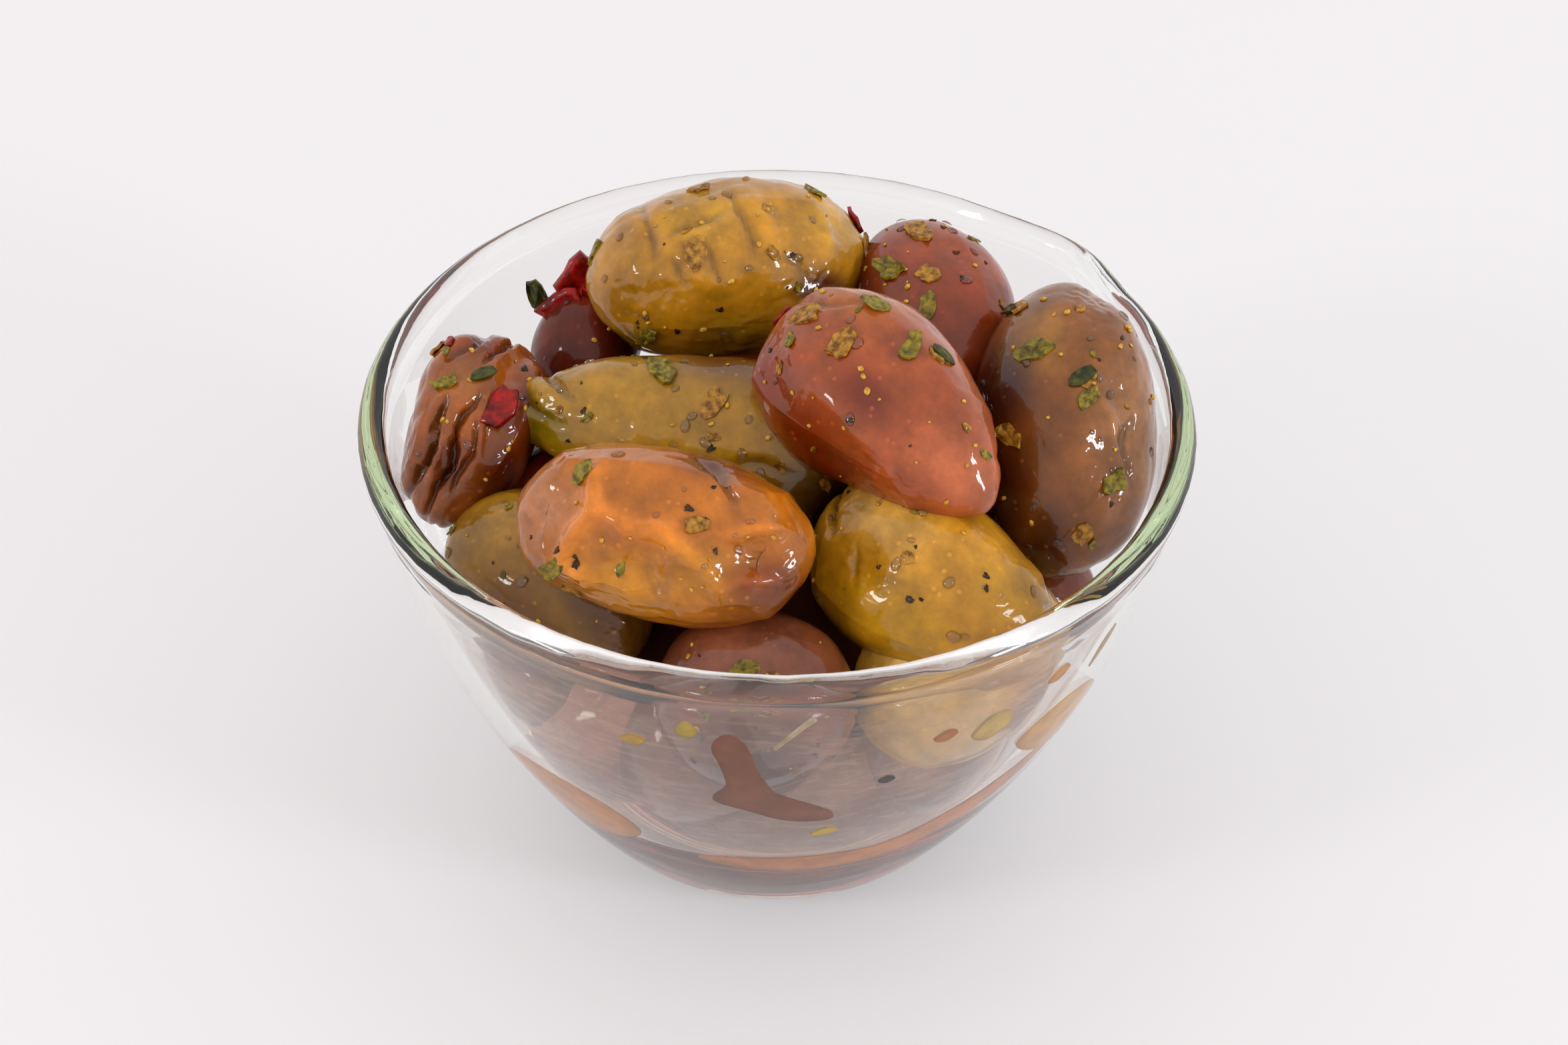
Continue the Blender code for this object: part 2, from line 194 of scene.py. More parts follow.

# Marks on the skins: (depth mm, negative inwards; width mm; points). A point is
# (along, across) in fractions of the half length and half girth, on the upper side.
# Marks narrower than this also get painted shading: shade where they sink, light where they rise.
NARROW_MARK = 1.2
MARKS = {
    "olive_back_tan": (
        (-0.62, 0.55, ((-0.55, 0.78), (-0.58, 0.45), (-0.60, 0.12))),
        (-0.50, 0.50, ((-0.46, 0.40), (-0.22, 0.47), (-0.02, 0.62))),
        (-0.66, 0.55, ((0.04, 0.80), (0.07, 0.35), (0.13, -0.02))),
        (-0.55, 0.45, ((-0.48, 0.16), (-0.42, -0.02), (-0.38, -0.20))),
        (-0.55, 0.42, ((-0.22, 0.12), (-0.18, -0.04), (-0.15, -0.22))),
        (-0.40, 0.42, ((0.30, 0.05), (0.42, -0.10), (0.47, -0.30))),
        (0.34, 0.9, ((0.20, 0.70), (0.22, 0.25), (0.25, -0.05))),
        (0.36, 0.8, ((-0.33, 0.10), (-0.30, -0.10), (-0.24, -0.30))),
        (0.30, 0.8, ((0.62, 0.45), (0.66, 0.10), (0.62, -0.25))),
        (-0.5, 3.5, ((0.45, 0.05),)),
        (-0.6, 2.0, ((0.80, 0.10), (0.78, 0.40))),
        (-0.5, 3.0, ((-0.35, -0.55), (0.0, -0.6))),
    ),
    "olive_back_maroon": (
        (-0.4, 2.5, ((-0.2, 0.5), (0.3, 0.6))),
    ),
    "olive_centre_red": (
        (0.55, 1.6, ((-0.82, 0.05), (-0.30, -0.18), (0.15, -0.39), (0.55, -0.45))),
        (-0.8, 3.0, ((-0.55, -0.60), (-0.10, -0.80), (0.35, -0.85))),
        (0.35, 2.0, ((0.05, 0.78), (0.45, 0.50), (0.80, 0.18))),
        (-0.45, 2.4, ((0.55, 0.0), (0.72, -0.10))),
        (-0.4, 0.5, ((-0.92, 0.25), (-0.62, 0.42), (-0.40, 0.62))),
    ),
    "olive_right_brown": (
        (-0.6, 1.7, ((0.05, -0.47),)),
        (-0.6, 1.7, ((-0.16, -0.70),)),
        (-0.5, 1.6, ((-0.32, -0.37),)),
        (-0.6, 0.62, ((-0.05, -0.65), (-0.30, -0.60), (-0.5, -0.65))),
        (0.42, 0.74, ((0.0, -0.30), (-0.25, -0.50))),
        (-0.5, 2.5, ((0.85, -0.1), (0.80, -0.45))),
    ),
    "olive_long_green": (
        (-0.60, 0.60, ((-0.96, 0.10), (-0.78, -0.15), (-0.58, -0.30))),
        (-0.60, 0.55, ((-0.88, 0.40), (-0.70, 0.20), (-0.55, -0.02))),
        (-0.7, 1.5, ((-0.74, -0.42),)),
        (0.40, 0.8, ((-0.86, 0.18), (-0.64, 0.0))),
        (-0.4, 2.6, ((-0.30, 0.35), (0.0, 0.45))),
        (-0.4, 0.6, ((0.30, -0.30), (0.52, -0.12), (0.70, -0.16))),
    ),
    "olive_left_wrinkled": (
        (-1.56, 0.56, ((-0.95, 0.45), (-0.55, 0.35), (-0.05, 0.48))),
        (-1.56, 0.43, ((-1.0, 0.05), (-0.60, -0.02), (-0.15, 0.10), (0.10, 0.02))),
        (-0.96, 0.36, ((-0.80, -0.22), (-0.45, -0.26), (-0.20, -0.16))),
        (0.6, 0.56, ((-0.80, 0.22), (-0.40, 0.18))),
        (-0.96, 0.56, ((0.95, 0.35), (0.62, 0.42), (0.35, 0.70))),
        (-1.08, 0.43, ((1.0, -0.10), (0.70, -0.02), (0.42, 0.12))),
        (-1.1, 1.5, ((-0.30, -0.42), (0.30, -0.30), (0.85, -0.38))),
        (0.5, 2.2, ((-0.1, -0.78), (0.5, -0.75))),
        (-0.4, 1.8, ((0.20, 0.35),)),
    ),
    "olive_front_orange": (
        (1.35, 1.0, ((-0.40, 0.62), (-0.38, 0.10), (-0.56, -0.46))),
        (1.30, 1.0, ((-0.36, 0.12), (0.10, 0.02), (0.42, -0.25), (0.50, -0.60))),
        (0.80, 0.8, ((0.48, 0.10), (0.66, 0.26), (0.84, 0.28))),
        (0.75, 0.7, ((0.50, -0.50), (0.64, -0.30), (0.84, -0.32))),
        (-1.4, 2.6, ((-0.76, -0.10),)),
        (-1.9, 3.2, ((-0.12, -0.52), (0.18, -0.40))),
        (-1.4, 2.2, ((0.74, -0.06),)),
        (-0.9, 0.55, ((0.16, 1.0), (0.36, 0.80), (0.50, 0.52))),
        (-0.6, 1.8, ((-0.62, 0.35),)),
        (-0.4, 3.0, ((0.0, 0.50), (0.25, 0.45))),
        (0.5, 0.8, ((-0.56, -0.42), (-0.34, -0.78))),
    ),
    "olive_front_gold": (
        (-1.08, 0.5, ((-0.95, 0.50), (-0.80, 0.20), (-0.69, -0.05))),
        (0.4, 2.2, ((-0.16, 0.17), (0.32, -0.10))),
        (-0.5, 2.0, ((-0.45, -0.05), (-0.15, -0.25))),
        (-0.36, 0.36, ((-0.45, -0.01), (-0.27, -0.43))),
        (-0.4, 2.5, ((0.10, -0.60), (0.50, -0.45))),
    ),
    "olive_low_tan": (
        (-0.4, 2.0, ((-0.4, 0.3), (0.0, 0.5))),
    ),
    "olive_low_plum": (
        (0.3, 1.5, ((-0.5, 0.5), (0.0, 0.62), (0.5, 0.5))),
    ),
}

# Where a skin is finely crinkled: (along, across, radius) in the same fractions.
CRINKLES = {
    "olive_back_tan": ((-0.55, -0.10, 0.35), (0.45, -0.35, 0.35), (-0.10, -0.05, 0.30),
        (0.0, -0.75, 0.3)),
    "olive_centre_red": ((-0.60, -0.25, 0.25), (0.45, -0.50, 0.30)),
    "olive_right_brown": ((-0.15, -0.50, 0.35), (-0.45, -0.35, 0.25), (0.75, -0.2, 0.25)),
    "olive_left_wrinkled": ((-0.40, 0.20, 0.5), (0.5, 0.2, 0.3)),
    "olive_front_orange": ((0.35, -0.45, 0.35), (-0.35, -0.55, 0.35), (0.75, 0.0, 0.25),
        (-0.75, 0.1, 0.25)),
    "olive_front_gold": ((-0.35, -0.15, 0.25), (0.15, -0.25, 0.3), (-0.75, 0.2, 0.2)),
    "olive_long_green": ((-0.70, 0.0, 0.25), (0.45, -0.3, 0.2)),
    "olive_low_tan": ((-0.3, 0.2, 0.4),),
}

# A skin: its main colour, then three tones that spread over parts of it. A patch is
# (tone, along, across, radius) in the same fractions as the marks. The patches are partly
# the olive's own blotches and partly painted light: on most skins a darker tone on the
# lower side, where across is negative, is painted shade, and a paler tone on the upper
# side is painted light.
Skin = namedtuple("Skin", "main tones patches gloss", defaults=(1.0,))
SKINS = {
    "tan_green": Skin("BC800E", ("7E5C04", "CC9420", "541F02"), (
        (1, -0.80, -0.75, 0.25), (1, -0.1, -0.95, 0.38), (1, 0.5, -0.95, 0.3),
        (2, 0.75, 0.35, 0.35),
        (3, 0.55, -0.42, 0.26), (2, -0.25, 0.55, 0.3))),
    "maroon": Skin("93380A", ("5E1604", "A04418", "420E04"), (
        (1, -0.2, -0.8, 0.5), (1, 0.5, -0.7, 0.4), (2, -0.3, 0.4, 0.5))),
    "brick_red": Skin("A64C1E", ("B8641F", "842C02", "BC6034"), (
        (1, -0.60, 0.75, 0.45), (2, -0.75, -0.5, 0.45), (2, -0.2, -0.85, 0.4),
        (3, 0.85, -0.05, 0.35),
        (2, 0.1, -0.05, 0.25))),
    "umber": Skin("8A4C0C", ("451704", "A06838", "9C6418"), (
        (1, 0.1, 0.80, 0.45), (1, -0.6, 0.75, 0.45), (2, -0.1, -0.65, 0.45),
        (3, 0.45, 0.35, 0.3),
        (1, -0.95, 0.2, 0.3))),
    "olive_drab": Skin("B07E10", ("846A04", "401A02", "6A3A04"), (
        (1, -0.80, -0.35, 0.32), (1, -0.1, -0.85, 0.4), (2, 0.95, -0.35, 0.42),
        (2, 0.95, 0.3, 0.3),
        (3, 0.1, 0.95, 0.35), (3, 0.55, 0.85, 0.3))),
    "dark_red": Skin("6A1E04", ("480E04", "862A08", "501204"), ((1, 0.0, -0.5, 0.5),
        (2, 0.3, 0.4, 0.4)), 0.55),
    "rust": Skin("A0500E", ("6C2404", "B06620", "8A3405"), (
        (1, 0.2, -0.85, 0.5), (1, -0.5, -0.8, 0.45), (2, 0.3, 0.3, 0.35), (3, 0.7, 0.3, 0.4),
        (1, -0.6, 0.0, 0.25))),
    # Tone 1, the bright yellow over the lower front, is a painted highlight.
    "copper": Skin("BE6A0C", ("D08404", "C27A48", "803A02"), (
        (1, -0.05, -0.65, 0.45), (1, 0.45, -0.35, 0.35), (2, -0.85, 0.15, 0.40),
        (3, 0.84, -0.38, 0.42),
        (3, 0.3, 1.0, 0.3))),
    "gold": Skin("CC8C14", ("CC9405", "C08810", "E0A840"), (
        (1, 0.1, -0.6, 0.5), (2, 0.80, 0.35, 0.40), (3, -0.35, 0.45, 0.45),
        (2, -0.2, -0.95, 0.4))),
    "tan": Skin("A2700A", ("6E4205", "B48014", "806205"), (
        (1, 0.2, -0.7, 0.6), (2, -0.4, 0.4, 0.4), (1, 0.8, 0.0, 0.4))),
    "plum": Skin("86462A", ("62280E", "925236", "6A3014"), (
        (1, 0.0, -0.7, 0.5), (2, -0.1, 0.5, 0.45))),
    "dusky_plum": Skin("8A4A2C", ("703418", "9C5C3A", "5E2A14"), (
        (1, 0.3, -0.5, 0.4), (2, -0.3, 0.3, 0.5))),
    "rose_brown": Skin("C07C58", ("A8623C", "CE9070", "9C5834"), (
        (1, 0.4, -0.5, 0.4), (2, -0.3, 0.3, 0.5))),
    "pale_gold": Skin("ECB440", ("D09420", "F0C468", "C89820"), (
        (1, 0.3, -0.5, 0.4), (2, -0.3, 0.3, 0.5))),
    "salmon": Skin("CC7450", ("B05C30", "D88C68", "A85830"), (
        (1, 0.3, -0.5, 0.4), (2, -0.3, 0.3, 0.5))),
}


def linear(hex_colour, alpha=1.0):
    """A linear RGBA colour from an sRGB hex value."""
    channels = [int(hex_colour[i:i + 2], 16) / 255.0 for i in (0, 2, 4)]
    return tuple(c / 12.92 if c <= 0.04045 else ((c + 0.055) / 1.055) ** 2.4
                 for c in channels) + (alpha,)


def add_node(tree, kind, settings=None, links=None):
    """Adds a node with its properties and socket values, and links into its sockets."""
    node = tree.nodes.new(kind)
    for name, value in (settings or {}).items():
        if isinstance(name, str) and hasattr(node, name):
            setattr(node, name, value)
        else:
            node.inputs[name].default_value = value
    for socket, source in (links or {}).items():
        tree.links.new(source, node.inputs[socket])
    return node


def set_inputs(node, values):
    """Sets a node's sockets by name."""
    for name, value in values.items():
        node.inputs[name].default_value = value


def new_material(name):
    material = bpy.data.materials.new(name)
    material.use_nodes = True
    return material, material.node_tree, material.node_tree.nodes["Principled BSDF"]


def clear_selection():
    if bpy.context.mode != "OBJECT":
        bpy.ops.object.mode_set(mode="OBJECT")
    bpy.ops.object.select_all(action="DESELECT")


def only(piece):
    """Selects this piece alone and makes it the active one."""
    clear_selection()
    piece.select_set(True)
    bpy.context.view_layer.objects.active = piece


def apply_modifiers(piece):
    only(piece)
    for modifier in list(piece.modifiers):
        bpy.ops.object.modifier_apply(modifier=modifier.name)


def new_piece(name, primitive, **shape):
    """Adds a named primitive, which is then the only thing selected."""
    clear_selection()
    primitive(**shape)
    piece = bpy.context.object
    piece.name = piece.data.name = name
    return piece


def on_all(operator, **settings):
    """In edit mode, selects everything and runs an operator on it."""
    bpy.ops.mesh.select_all(action="SELECT")
    operator(**settings)


def edit_mode():
    bpy.ops.object.mode_set(mode="EDIT")


def object_mode():
    bpy.ops.object.mode_set(mode="OBJECT")


def join_pieces(pieces):
    """Joins pieces into the first of them."""
    clear_selection()
    for piece in pieces:
        piece.select_set(True)
    bpy.context.view_layer.objects.active = pieces[0]
    bpy.ops.object.join()
    return pieces[0]


def vertex_places(piece):
    """The places of a piece's vertices, one row for each, in metres."""
    places = np.empty(len(piece.data.vertices) * 3)
    piece.data.vertices.foreach_get("co", places)
    return places.reshape(-1, 3)


def keep_values(piece, name, kind, values):
    """Stores values on a piece's vertices, for its material to read."""
    key = {"FLOAT": "value", "FLOAT_VECTOR": "vector", "FLOAT_COLOR": "color"}[kind]
    layer = piece.data.attributes.new(name, kind, "POINT")
    layer.data.foreach_set(key, np.asarray(values, np.float32).ravel())


def finish_piece(piece, material, node=None, smooth=True):
    """Gives a piece its material and its body, and hides the CAD node it stands for."""
    only(piece)
    bpy.ops.object.transform_apply(location=True, rotation=True, scale=True)
    if smooth:
        bpy.ops.object.shade_smooth()
    piece.data.materials.clear()
    piece.data.materials.append(material)
    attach(piece, "root")
    if node:
        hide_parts(node)
    return piece


def select_where(piece, test):
    """In edit mode, selects the vertices whose place passes a test."""
    bpy.ops.mesh.select_mode(type="VERT")
    bpy.ops.mesh.select_all(action="DESELECT")
    bm = bmesh.from_edit_mesh(piece.data)
    for vert in bm.verts:
        if test(vert.co):
            vert.select = True
    bm.select_flush_mode()
    bmesh.update_edit_mesh(piece.data)


# The glass section.

def side_curve(inset_foot=0.0, inset_rim=0.0, heel_steps=8, side_steps=22):
    """Points (radius, height) up the heel and the side, moved inwards by an inset."""
    side_radius = (RIM_RADIUS - FOOT_RADIUS - HEEL_RADIUS * math.sin(HEEL_END)) / (
        math.sin(SIDE_END) - math.sin(HEEL_END))
    curve = []
    for step in range(heel_steps + 1):
        turn = HEEL_END * step / heel_steps
        curve.append((turn, Vector((FOOT_RADIUS + HEEL_RADIUS * math.sin(turn),
                                    HEEL_RADIUS * (1.0 - math.cos(turn))))))
    heel_top = curve[-1][1].copy()
    for step in range(1, side_steps + 1):
        turn = HEEL_END + (SIDE_END - HEEL_END) * step / side_steps
        rise = Vector((math.sin(turn) - math.sin(HEEL_END),
                       math.cos(HEEL_END) - math.cos(turn)))
        curve.append((turn, heel_top + side_radius * rise))
    points = []
    for turn, point in curve:
        blend = min(1.0, point.y / THICK_FOOT_HEIGHT)
        inset = inset_foot + (inset_rim - inset_foot) * blend
        points.append(point + inset * Vector((-math.sin(turn), math.cos(turn))))
    return points


def cut_between(points, low, high):
    """The stretch of a rising curve between two heights."""
    kept = [p for p in points if low + 1e-6 < p.y < high - 1e-6]
    ends = []
    for height in (low, high):
        after = next((i for i, p in enumerate(points) if p.y >= height), len(points) - 1)
        a, b = points[max(after - 1, 0)], points[after]
        share = 0.0 if b.y - a.y < 1e-9 else (height - a.y) / (b.y - a.y)
        ends.append(a.lerp(b, min(1.0, max(0.0, share))))
    return [ends[0]] + kept + [ends[1]]


def wall_radius(height, inset=0.0):
    """The radius of the glass's inner wall at a height, moved inwards by an inset."""
    inside = side_curve(FLOOR_THICKNESS + inset, WALL_THICKNESS + inset)
    for a, b in zip(inside, inside[1:]):
        if a.y <= height <= b.y:
            return a.x + (b.x - a.x) * (height - a.y) / (b.y - a.y)
    return inside[-1].x


def turn_profile(name, points, steps, start=0.0, sweep=360.0):
    """Extrudes a run of points into a section and spins it round Z to a closed skin."""
    piece = new_piece(name, bpy.ops.mesh.primitive_plane_add, size=MM)
    edit_mode()
    on_all(bpy.ops.mesh.merge, type="CENTER")
    on_all(bpy.ops.transform.translate, value=(points[0].x, 0.0, points[0].y))
    for before, after in zip(points, points[1:]):
        step = after - before
        bpy.ops.mesh.extrude_region_move(
            TRANSFORM_OT_translate={"value": (step.x, 0.0, step.y)})
    # A positive angle turns clockwise, as seen from above.
    on_all(bpy.ops.mesh.spin, steps=steps, angle=math.radians(sweep), center=(0.0, 0.0, 0.0),
           axis=(0.0, 0.0, 1.0))
    on_all(bpy.ops.mesh.remove_doubles, threshold=MERGE_DISTANCE)
    on_all(bpy.ops.mesh.fill_holes, sides=0)
    on_all(bpy.ops.mesh.normals_make_consistent, inside=False)
    object_mode()
    piece.rotation_euler.z = math.radians(start)
    bpy.ops.object.transform_apply(location=True, rotation=True, scale=True)
    face_outwards(piece)
    return piece


def face_outwards(piece):
    """Turns a closed skin right side out if it came out inside out."""
    bm = bmesh.new()
    bm.from_mesh(piece.data)
    inside_out = bm.calc_volume(signed=True) < 0.0
    bm.free()
    if inside_out:
        only(piece)
        edit_mode()
        on_all(bpy.ops.mesh.flip_normals)
        object_mode()


def rim_profile():
    """The whole glass section, from the foot's middle up the outside and down inside."""
    bead = Vector((RIM_RADIUS - BEAD_RADIUS, BOWL_HEIGHT - BEAD_RADIUS))
    neck = BOWL_HEIGHT - NECK_DEPTH
    outside = [p for p in side_curve(0.0, NECK_INSET) if p.y < neck]
    inside = [p for p in side_curve(FLOOR_THICKNESS, WALL_THICKNESS) if p.y < neck]
    first, last, steps = BEAD_START, BEAD_END, 16
    rim = [bead + BEAD_RADIUS * Vector((math.cos(first + (last - first) * i / steps),
                                        math.sin(first + (last - first) * i / steps)))
           for i in range(steps + 1)]
    return ([Vector((0.0, 0.0))] + outside + rim + inside[::-1]
            + [Vector((0.0, inside[0].y))])


# Materials.

OIL_IOR = 1.47

def make_clear(tree, shader, ior, tint, density):
    """Makes a material clear all through, with a tint that builds up with depth."""
    set_inputs(shader, {"Base Color": (1.0, 1.0, 1.0, 1.0), "Roughness": 0.0, "IOR": ior,
                        "Transmission Weight": 1.0})
    absorb = add_node(tree, "ShaderNodeVolumeAbsorption",
                      {"Color": (*tint, 1.0), "Density": density})
    tree.links.new(absorb.outputs["Volume"], tree.nodes["Material Output"].inputs["Volume"])


def soda_lime_glass():
    # Pressed soda-lime glass, fire-polished: clear, with a faint green where it is thick.
    material, tree, shader = new_material("soda_lime_glass_pressed_fire_polished")
    props = bpy.context.scene.olive_bowl
    make_clear(tree, shader, 1.52, props.glass_tint, props.glass_density)
    return material


def marinade(name, tint, density):
    # Olive oil steeped with paprika and herbs: clear, glossy, darker as it is deeper.
    material, tree, shader = new_material(name)
    make_clear(tree, shader, OIL_IOR, tint, density)
    return material


def olive_skin(name, skin, seed):
    # Brined olive skin under a film of oil: mottled in soft patches a few millimetres
    # across, dotted with pale pores, with a sharp wet gloss over a softer skin.
    material, tree, shader = new_material(name)
    place = add_node(tree, "ShaderNodeAttribute", {"attribute_name": "skin"})
    tones = add_node(tree, "ShaderNodeAttribute", {"attribute_name": "tones"})
    split = add_node(tree, "ShaderNodeSeparateColor", links={0: tones.outputs["Color"]})
    shift = add_node(tree, "ShaderNodeMapping",
                     {"Location": (seed * 0.37, seed * 0.19, seed * 0.53)},
                     {"Vector": place.outputs["Vector"]})
    patches = add_node(tree, "ShaderNodeTexNoise",
                       {"Scale": 1.0 / (5.0 * MM), "Detail": 4.0, "Roughness": 0.6},
                       {"Vector": shift.outputs[0]})
    mottle = add_node(tree, "ShaderNodeTexNoise",
                      {"Scale": 1.0 / (1.3 * MM), "Detail": 5.0, "Roughness": 0.65},
                      {"Vector": shift.outputs[0]})
    main = linear(skin.main)
    shade = add_node(tree, "ShaderNodeMapRange",
                     {"From Min": 0.35, "From Max": 0.65, "To Min": 0.72, "To Max": 1.22},
                     {"Value": patches.outputs["Fac"]})
    fine = add_node(tree, "ShaderNodeMapRange",
                    {"From Min": 0.3, "From Max": 0.7, "To Min": 0.88, "To Max": 1.10},
                    {"Value": mottle.outputs["Fac"]})
    both = add_node(tree, "ShaderNodeMath", {"operation": "MULTIPLY"},
                    {0: shade.outputs[0], 1: fine.outputs[0]})
    # The tones mix the olive's own blotches with painted shade on its lower side and painted light
    # on its upper side.
    source = None
    for index, tone in enumerate(skin.tones):
        # The edge of each tone is broken by the patch noise.
        edge = add_node(tree, "ShaderNodeMath",
                        {"operation": "MULTIPLY_ADD", 1: 0.7, 2: -0.35},
                        {0: patches.outputs["Fac"]})
        spread = add_node(tree, "ShaderNodeMath", {"operation": "ADD"},
                          {0: split.outputs[index], 1: edge.outputs[0]})
        amount = add_node(tree, "ShaderNodeMapRange",
                          {"interpolation_type": "SMOOTHSTEP", "From Min": 0.05, "From Max": 0.95},
                          {"Value": spread.outputs[0]})
        mix = add_node(tree, "ShaderNodeMix", {"data_type": "RGBA", 7: linear(tone)},
                       {0: amount.outputs[0]})
        if source is None:
            mix.inputs[6].default_value = main
        else:
            tree.links.new(source, mix.inputs[6])
        source = mix.outputs[2]
    shaded = add_node(tree, "ShaderNodeVectorMath", {"operation": "SCALE"},
                      {0: source, "Scale": both.outputs[0]})
    # Painted shade darkens the narrow sunken creases, and painted light makes the narrow raised
    # marks paler.
    crease = add_node(tree, "ShaderNodeAttribute", {"attribute_name": "crease"})
    depth = add_node(tree, "ShaderNodeMapRange",
                     {"From Min": -0.6, "From Max": 0.6, "To Min": 1.25, "To Max": 0.5},
                     {"Value": crease.outputs["Fac"]})
    shaded = add_node(tree, "ShaderNodeVectorMath", {"operation": "SCALE"},
                      {0: shaded.outputs[0], "Scale": depth.outputs[0]})
    # Pale pores, drawn about a third of a millimetre wide so that they show.
    pores = add_node(tree, "ShaderNodeTexVoronoi",
                     {"Scale": 1.0 / (1.9 * MM), "Randomness": 1.0},
                     {"Vector": shift.outputs[0]})
    dot = add_node(tree, "ShaderNodeMapRange",
                   {"From Min": 0.10, "From Max": 0.16, "To Min": 0.32, "To Max": 0.0},
                   {"Value": pores.outputs["Distance"]})
    pale = tuple(min(1.0, c * 1.6 + 0.02) for c in main[:3]) + (1.0,)
    speckled = add_node(tree, "ShaderNodeMix", {"data_type": "RGBA", 7: pale},
                        {0: dot.outputs[0], 6: shaded.outputs[0]})
    tree.links.new(speckled.outputs[2], shader.inputs["Base Color"])
    # Fine skin texture under the oil, and slow waves in the film itself.
    grain = add_node(tree, "ShaderNodeTexNoise",
                     {"Scale": 1.0 / (0.55 * MM), "Detail": 3.0}, {"Vector": shift.outputs[0]})
    bump = add_node(tree, "ShaderNodeBump", {"Strength": 0.35, "Distance": 0.05 * MM},
                    {"Height": grain.outputs["Fac"]})
    tree.links.new(bump.outputs[0], shader.inputs["Normal"])
    film = add_node(tree, "ShaderNodeTexNoise",
                    {"Scale": 1.0 / (2.4 * MM), "Detail": 3.0}, {"Vector": shift.outputs[0]})
    waves = add_node(tree, "ShaderNodeBump", {"Strength": 0.7, "Distance": 0.11 * MM},
                     {"Height": film.outputs["Fac"]})
    tree.links.new(waves.outputs[0], shader.inputs["Coat Normal"])
    set_inputs(shader, {
        "Roughness": 0.45, "IOR": 1.42, "Specular IOR Level": 0.15,
        "Coat Weight": skin.gloss, "Coat Roughness": 0.045, "Coat IOR": OIL_IOR,
        "Subsurface Weight": 0.12, "Subsurface Radius": (1.0, 0.45, 0.2),
        "Subsurface Scale": 1.6 * MM})
    return material


def painted_shade_core():
    # Painted shade for the deep gaps of the heap: a near-black brown in soft blotches.
    material, tree, shader = new_material("wet_olive_flesh_in_shade")
    place = add_node(tree, "ShaderNodeTexCoord")
    noise = add_node(tree, "ShaderNodeTexNoise", {"Scale": 1.0 / (4.0 * MM), "Detail": 4.0},
                     {"Vector": place.outputs["Object"]})
    ramp = add_node(tree, "ShaderNodeMix",
                    {"data_type": "RGBA", 6: linear("1C0A03"), 7: linear("3A1608")},
                    {0: noise.outputs["Fac"]})
    tree.links.new(ramp.outputs[2], shader.inputs["Base Color"])
    set_inputs(shader, {"Roughness": 0.6, "Specular IOR Level": 0.02})
    return material


def dried_leaf(name, low, high, size):
    # Dried and soaked herb: dull leaf, veined and mottled, under the same oil.
    material, tree, shader = new_material(name)
    place = add_node(tree, "ShaderNodeTexCoord")
    noise = add_node(tree, "ShaderNodeTexNoise", {"Scale": 1.0 / size, "Detail": 3.0},
                     {"Vector": place.outputs["Object"]})
    spread = add_node(tree, "ShaderNodeMapRange", {"From Min": 0.35, "From Max": 0.65},
                      {"Value": noise.outputs["Fac"]})
    mix = add_node(tree, "ShaderNodeMix",
                   {"data_type": "RGBA", 6: linear(low), 7: linear(high)},
                   {0: spread.outputs[0]})
    tree.links.new(mix.outputs[2], shader.inputs["Base Color"])
    bump = add_node(tree, "ShaderNodeBump", {"Strength": 0.4, "Distance": 0.1 * MM},
                    {"Height": noise.outputs["Fac"]})
    tree.links.new(bump.outputs[0], shader.inputs["Normal"])
    set_inputs(shader, {"Roughness": 0.5, "Specular IOR Level": 0.12,
                        "Coat Weight": 0.5, "Coat Roughness": 0.06})
    return material


def smear_haze():
    # Oil and brine smeared on the inside of the glass: pale, streaky and half clear.
    material, tree, shader = new_material("oil_smear_haze_on_glass")
    place = add_node(tree, "ShaderNodeTexCoord")
    cover = add_node(tree, "ShaderNodeAttribute", {"attribute_name": "cover"})
    lying = add_node(tree, "ShaderNodeMapping",
                     {"Scale": (0.22, 0.22, 1.0), "Rotation": (0.10, -0.16, 0.0)},
                     {"Vector": place.outputs["Object"]})
    streaks = add_node(tree, "ShaderNodeTexNoise",
                       {"Scale": 1.0 / (1.0 * MM), "Detail": 6.0, "Roughness": 0.7,
                        "Distortion": 0.6},
                       {"Vector": lying.outputs[0]})
    clouds = add_node(tree, "ShaderNodeTexNoise",
                      {"Scale": 1.0 / (9.0 * MM), "Detail": 3.0},
                      {"Vector": place.outputs["Object"]})
    thin = add_node(tree, "ShaderNodeMapRange",
                    {"From Min": 0.48, "From Max": 0.64, "To Min": 0.05, "To Max": 0.42},
                    {"Value": streaks.outputs["Fac"]})
    broad = add_node(tree, "ShaderNodeMapRange",
                     {"From Min": 0.35, "From Max": 0.65, "To Min": 0.55, "To Max": 1.1},
                     {"Value": clouds.outputs["Fac"]})
    first = add_node(tree, "ShaderNodeMath", {"operation": "MULTIPLY"},
                     {0: thin.outputs[0], 1: broad.outputs[0]})
    alpha = add_node(tree, "ShaderNodeMath", {"operation": "MULTIPLY", "use_clamp": True},
                     {0: first.outputs[0], 1: cover.outputs["Fac"]})
    tree.links.new(alpha.outputs[0], shader.inputs["Alpha"])
    set_inputs(shader, {"Base Color": linear("E8B088"), "Roughness": 0.5})
    return material


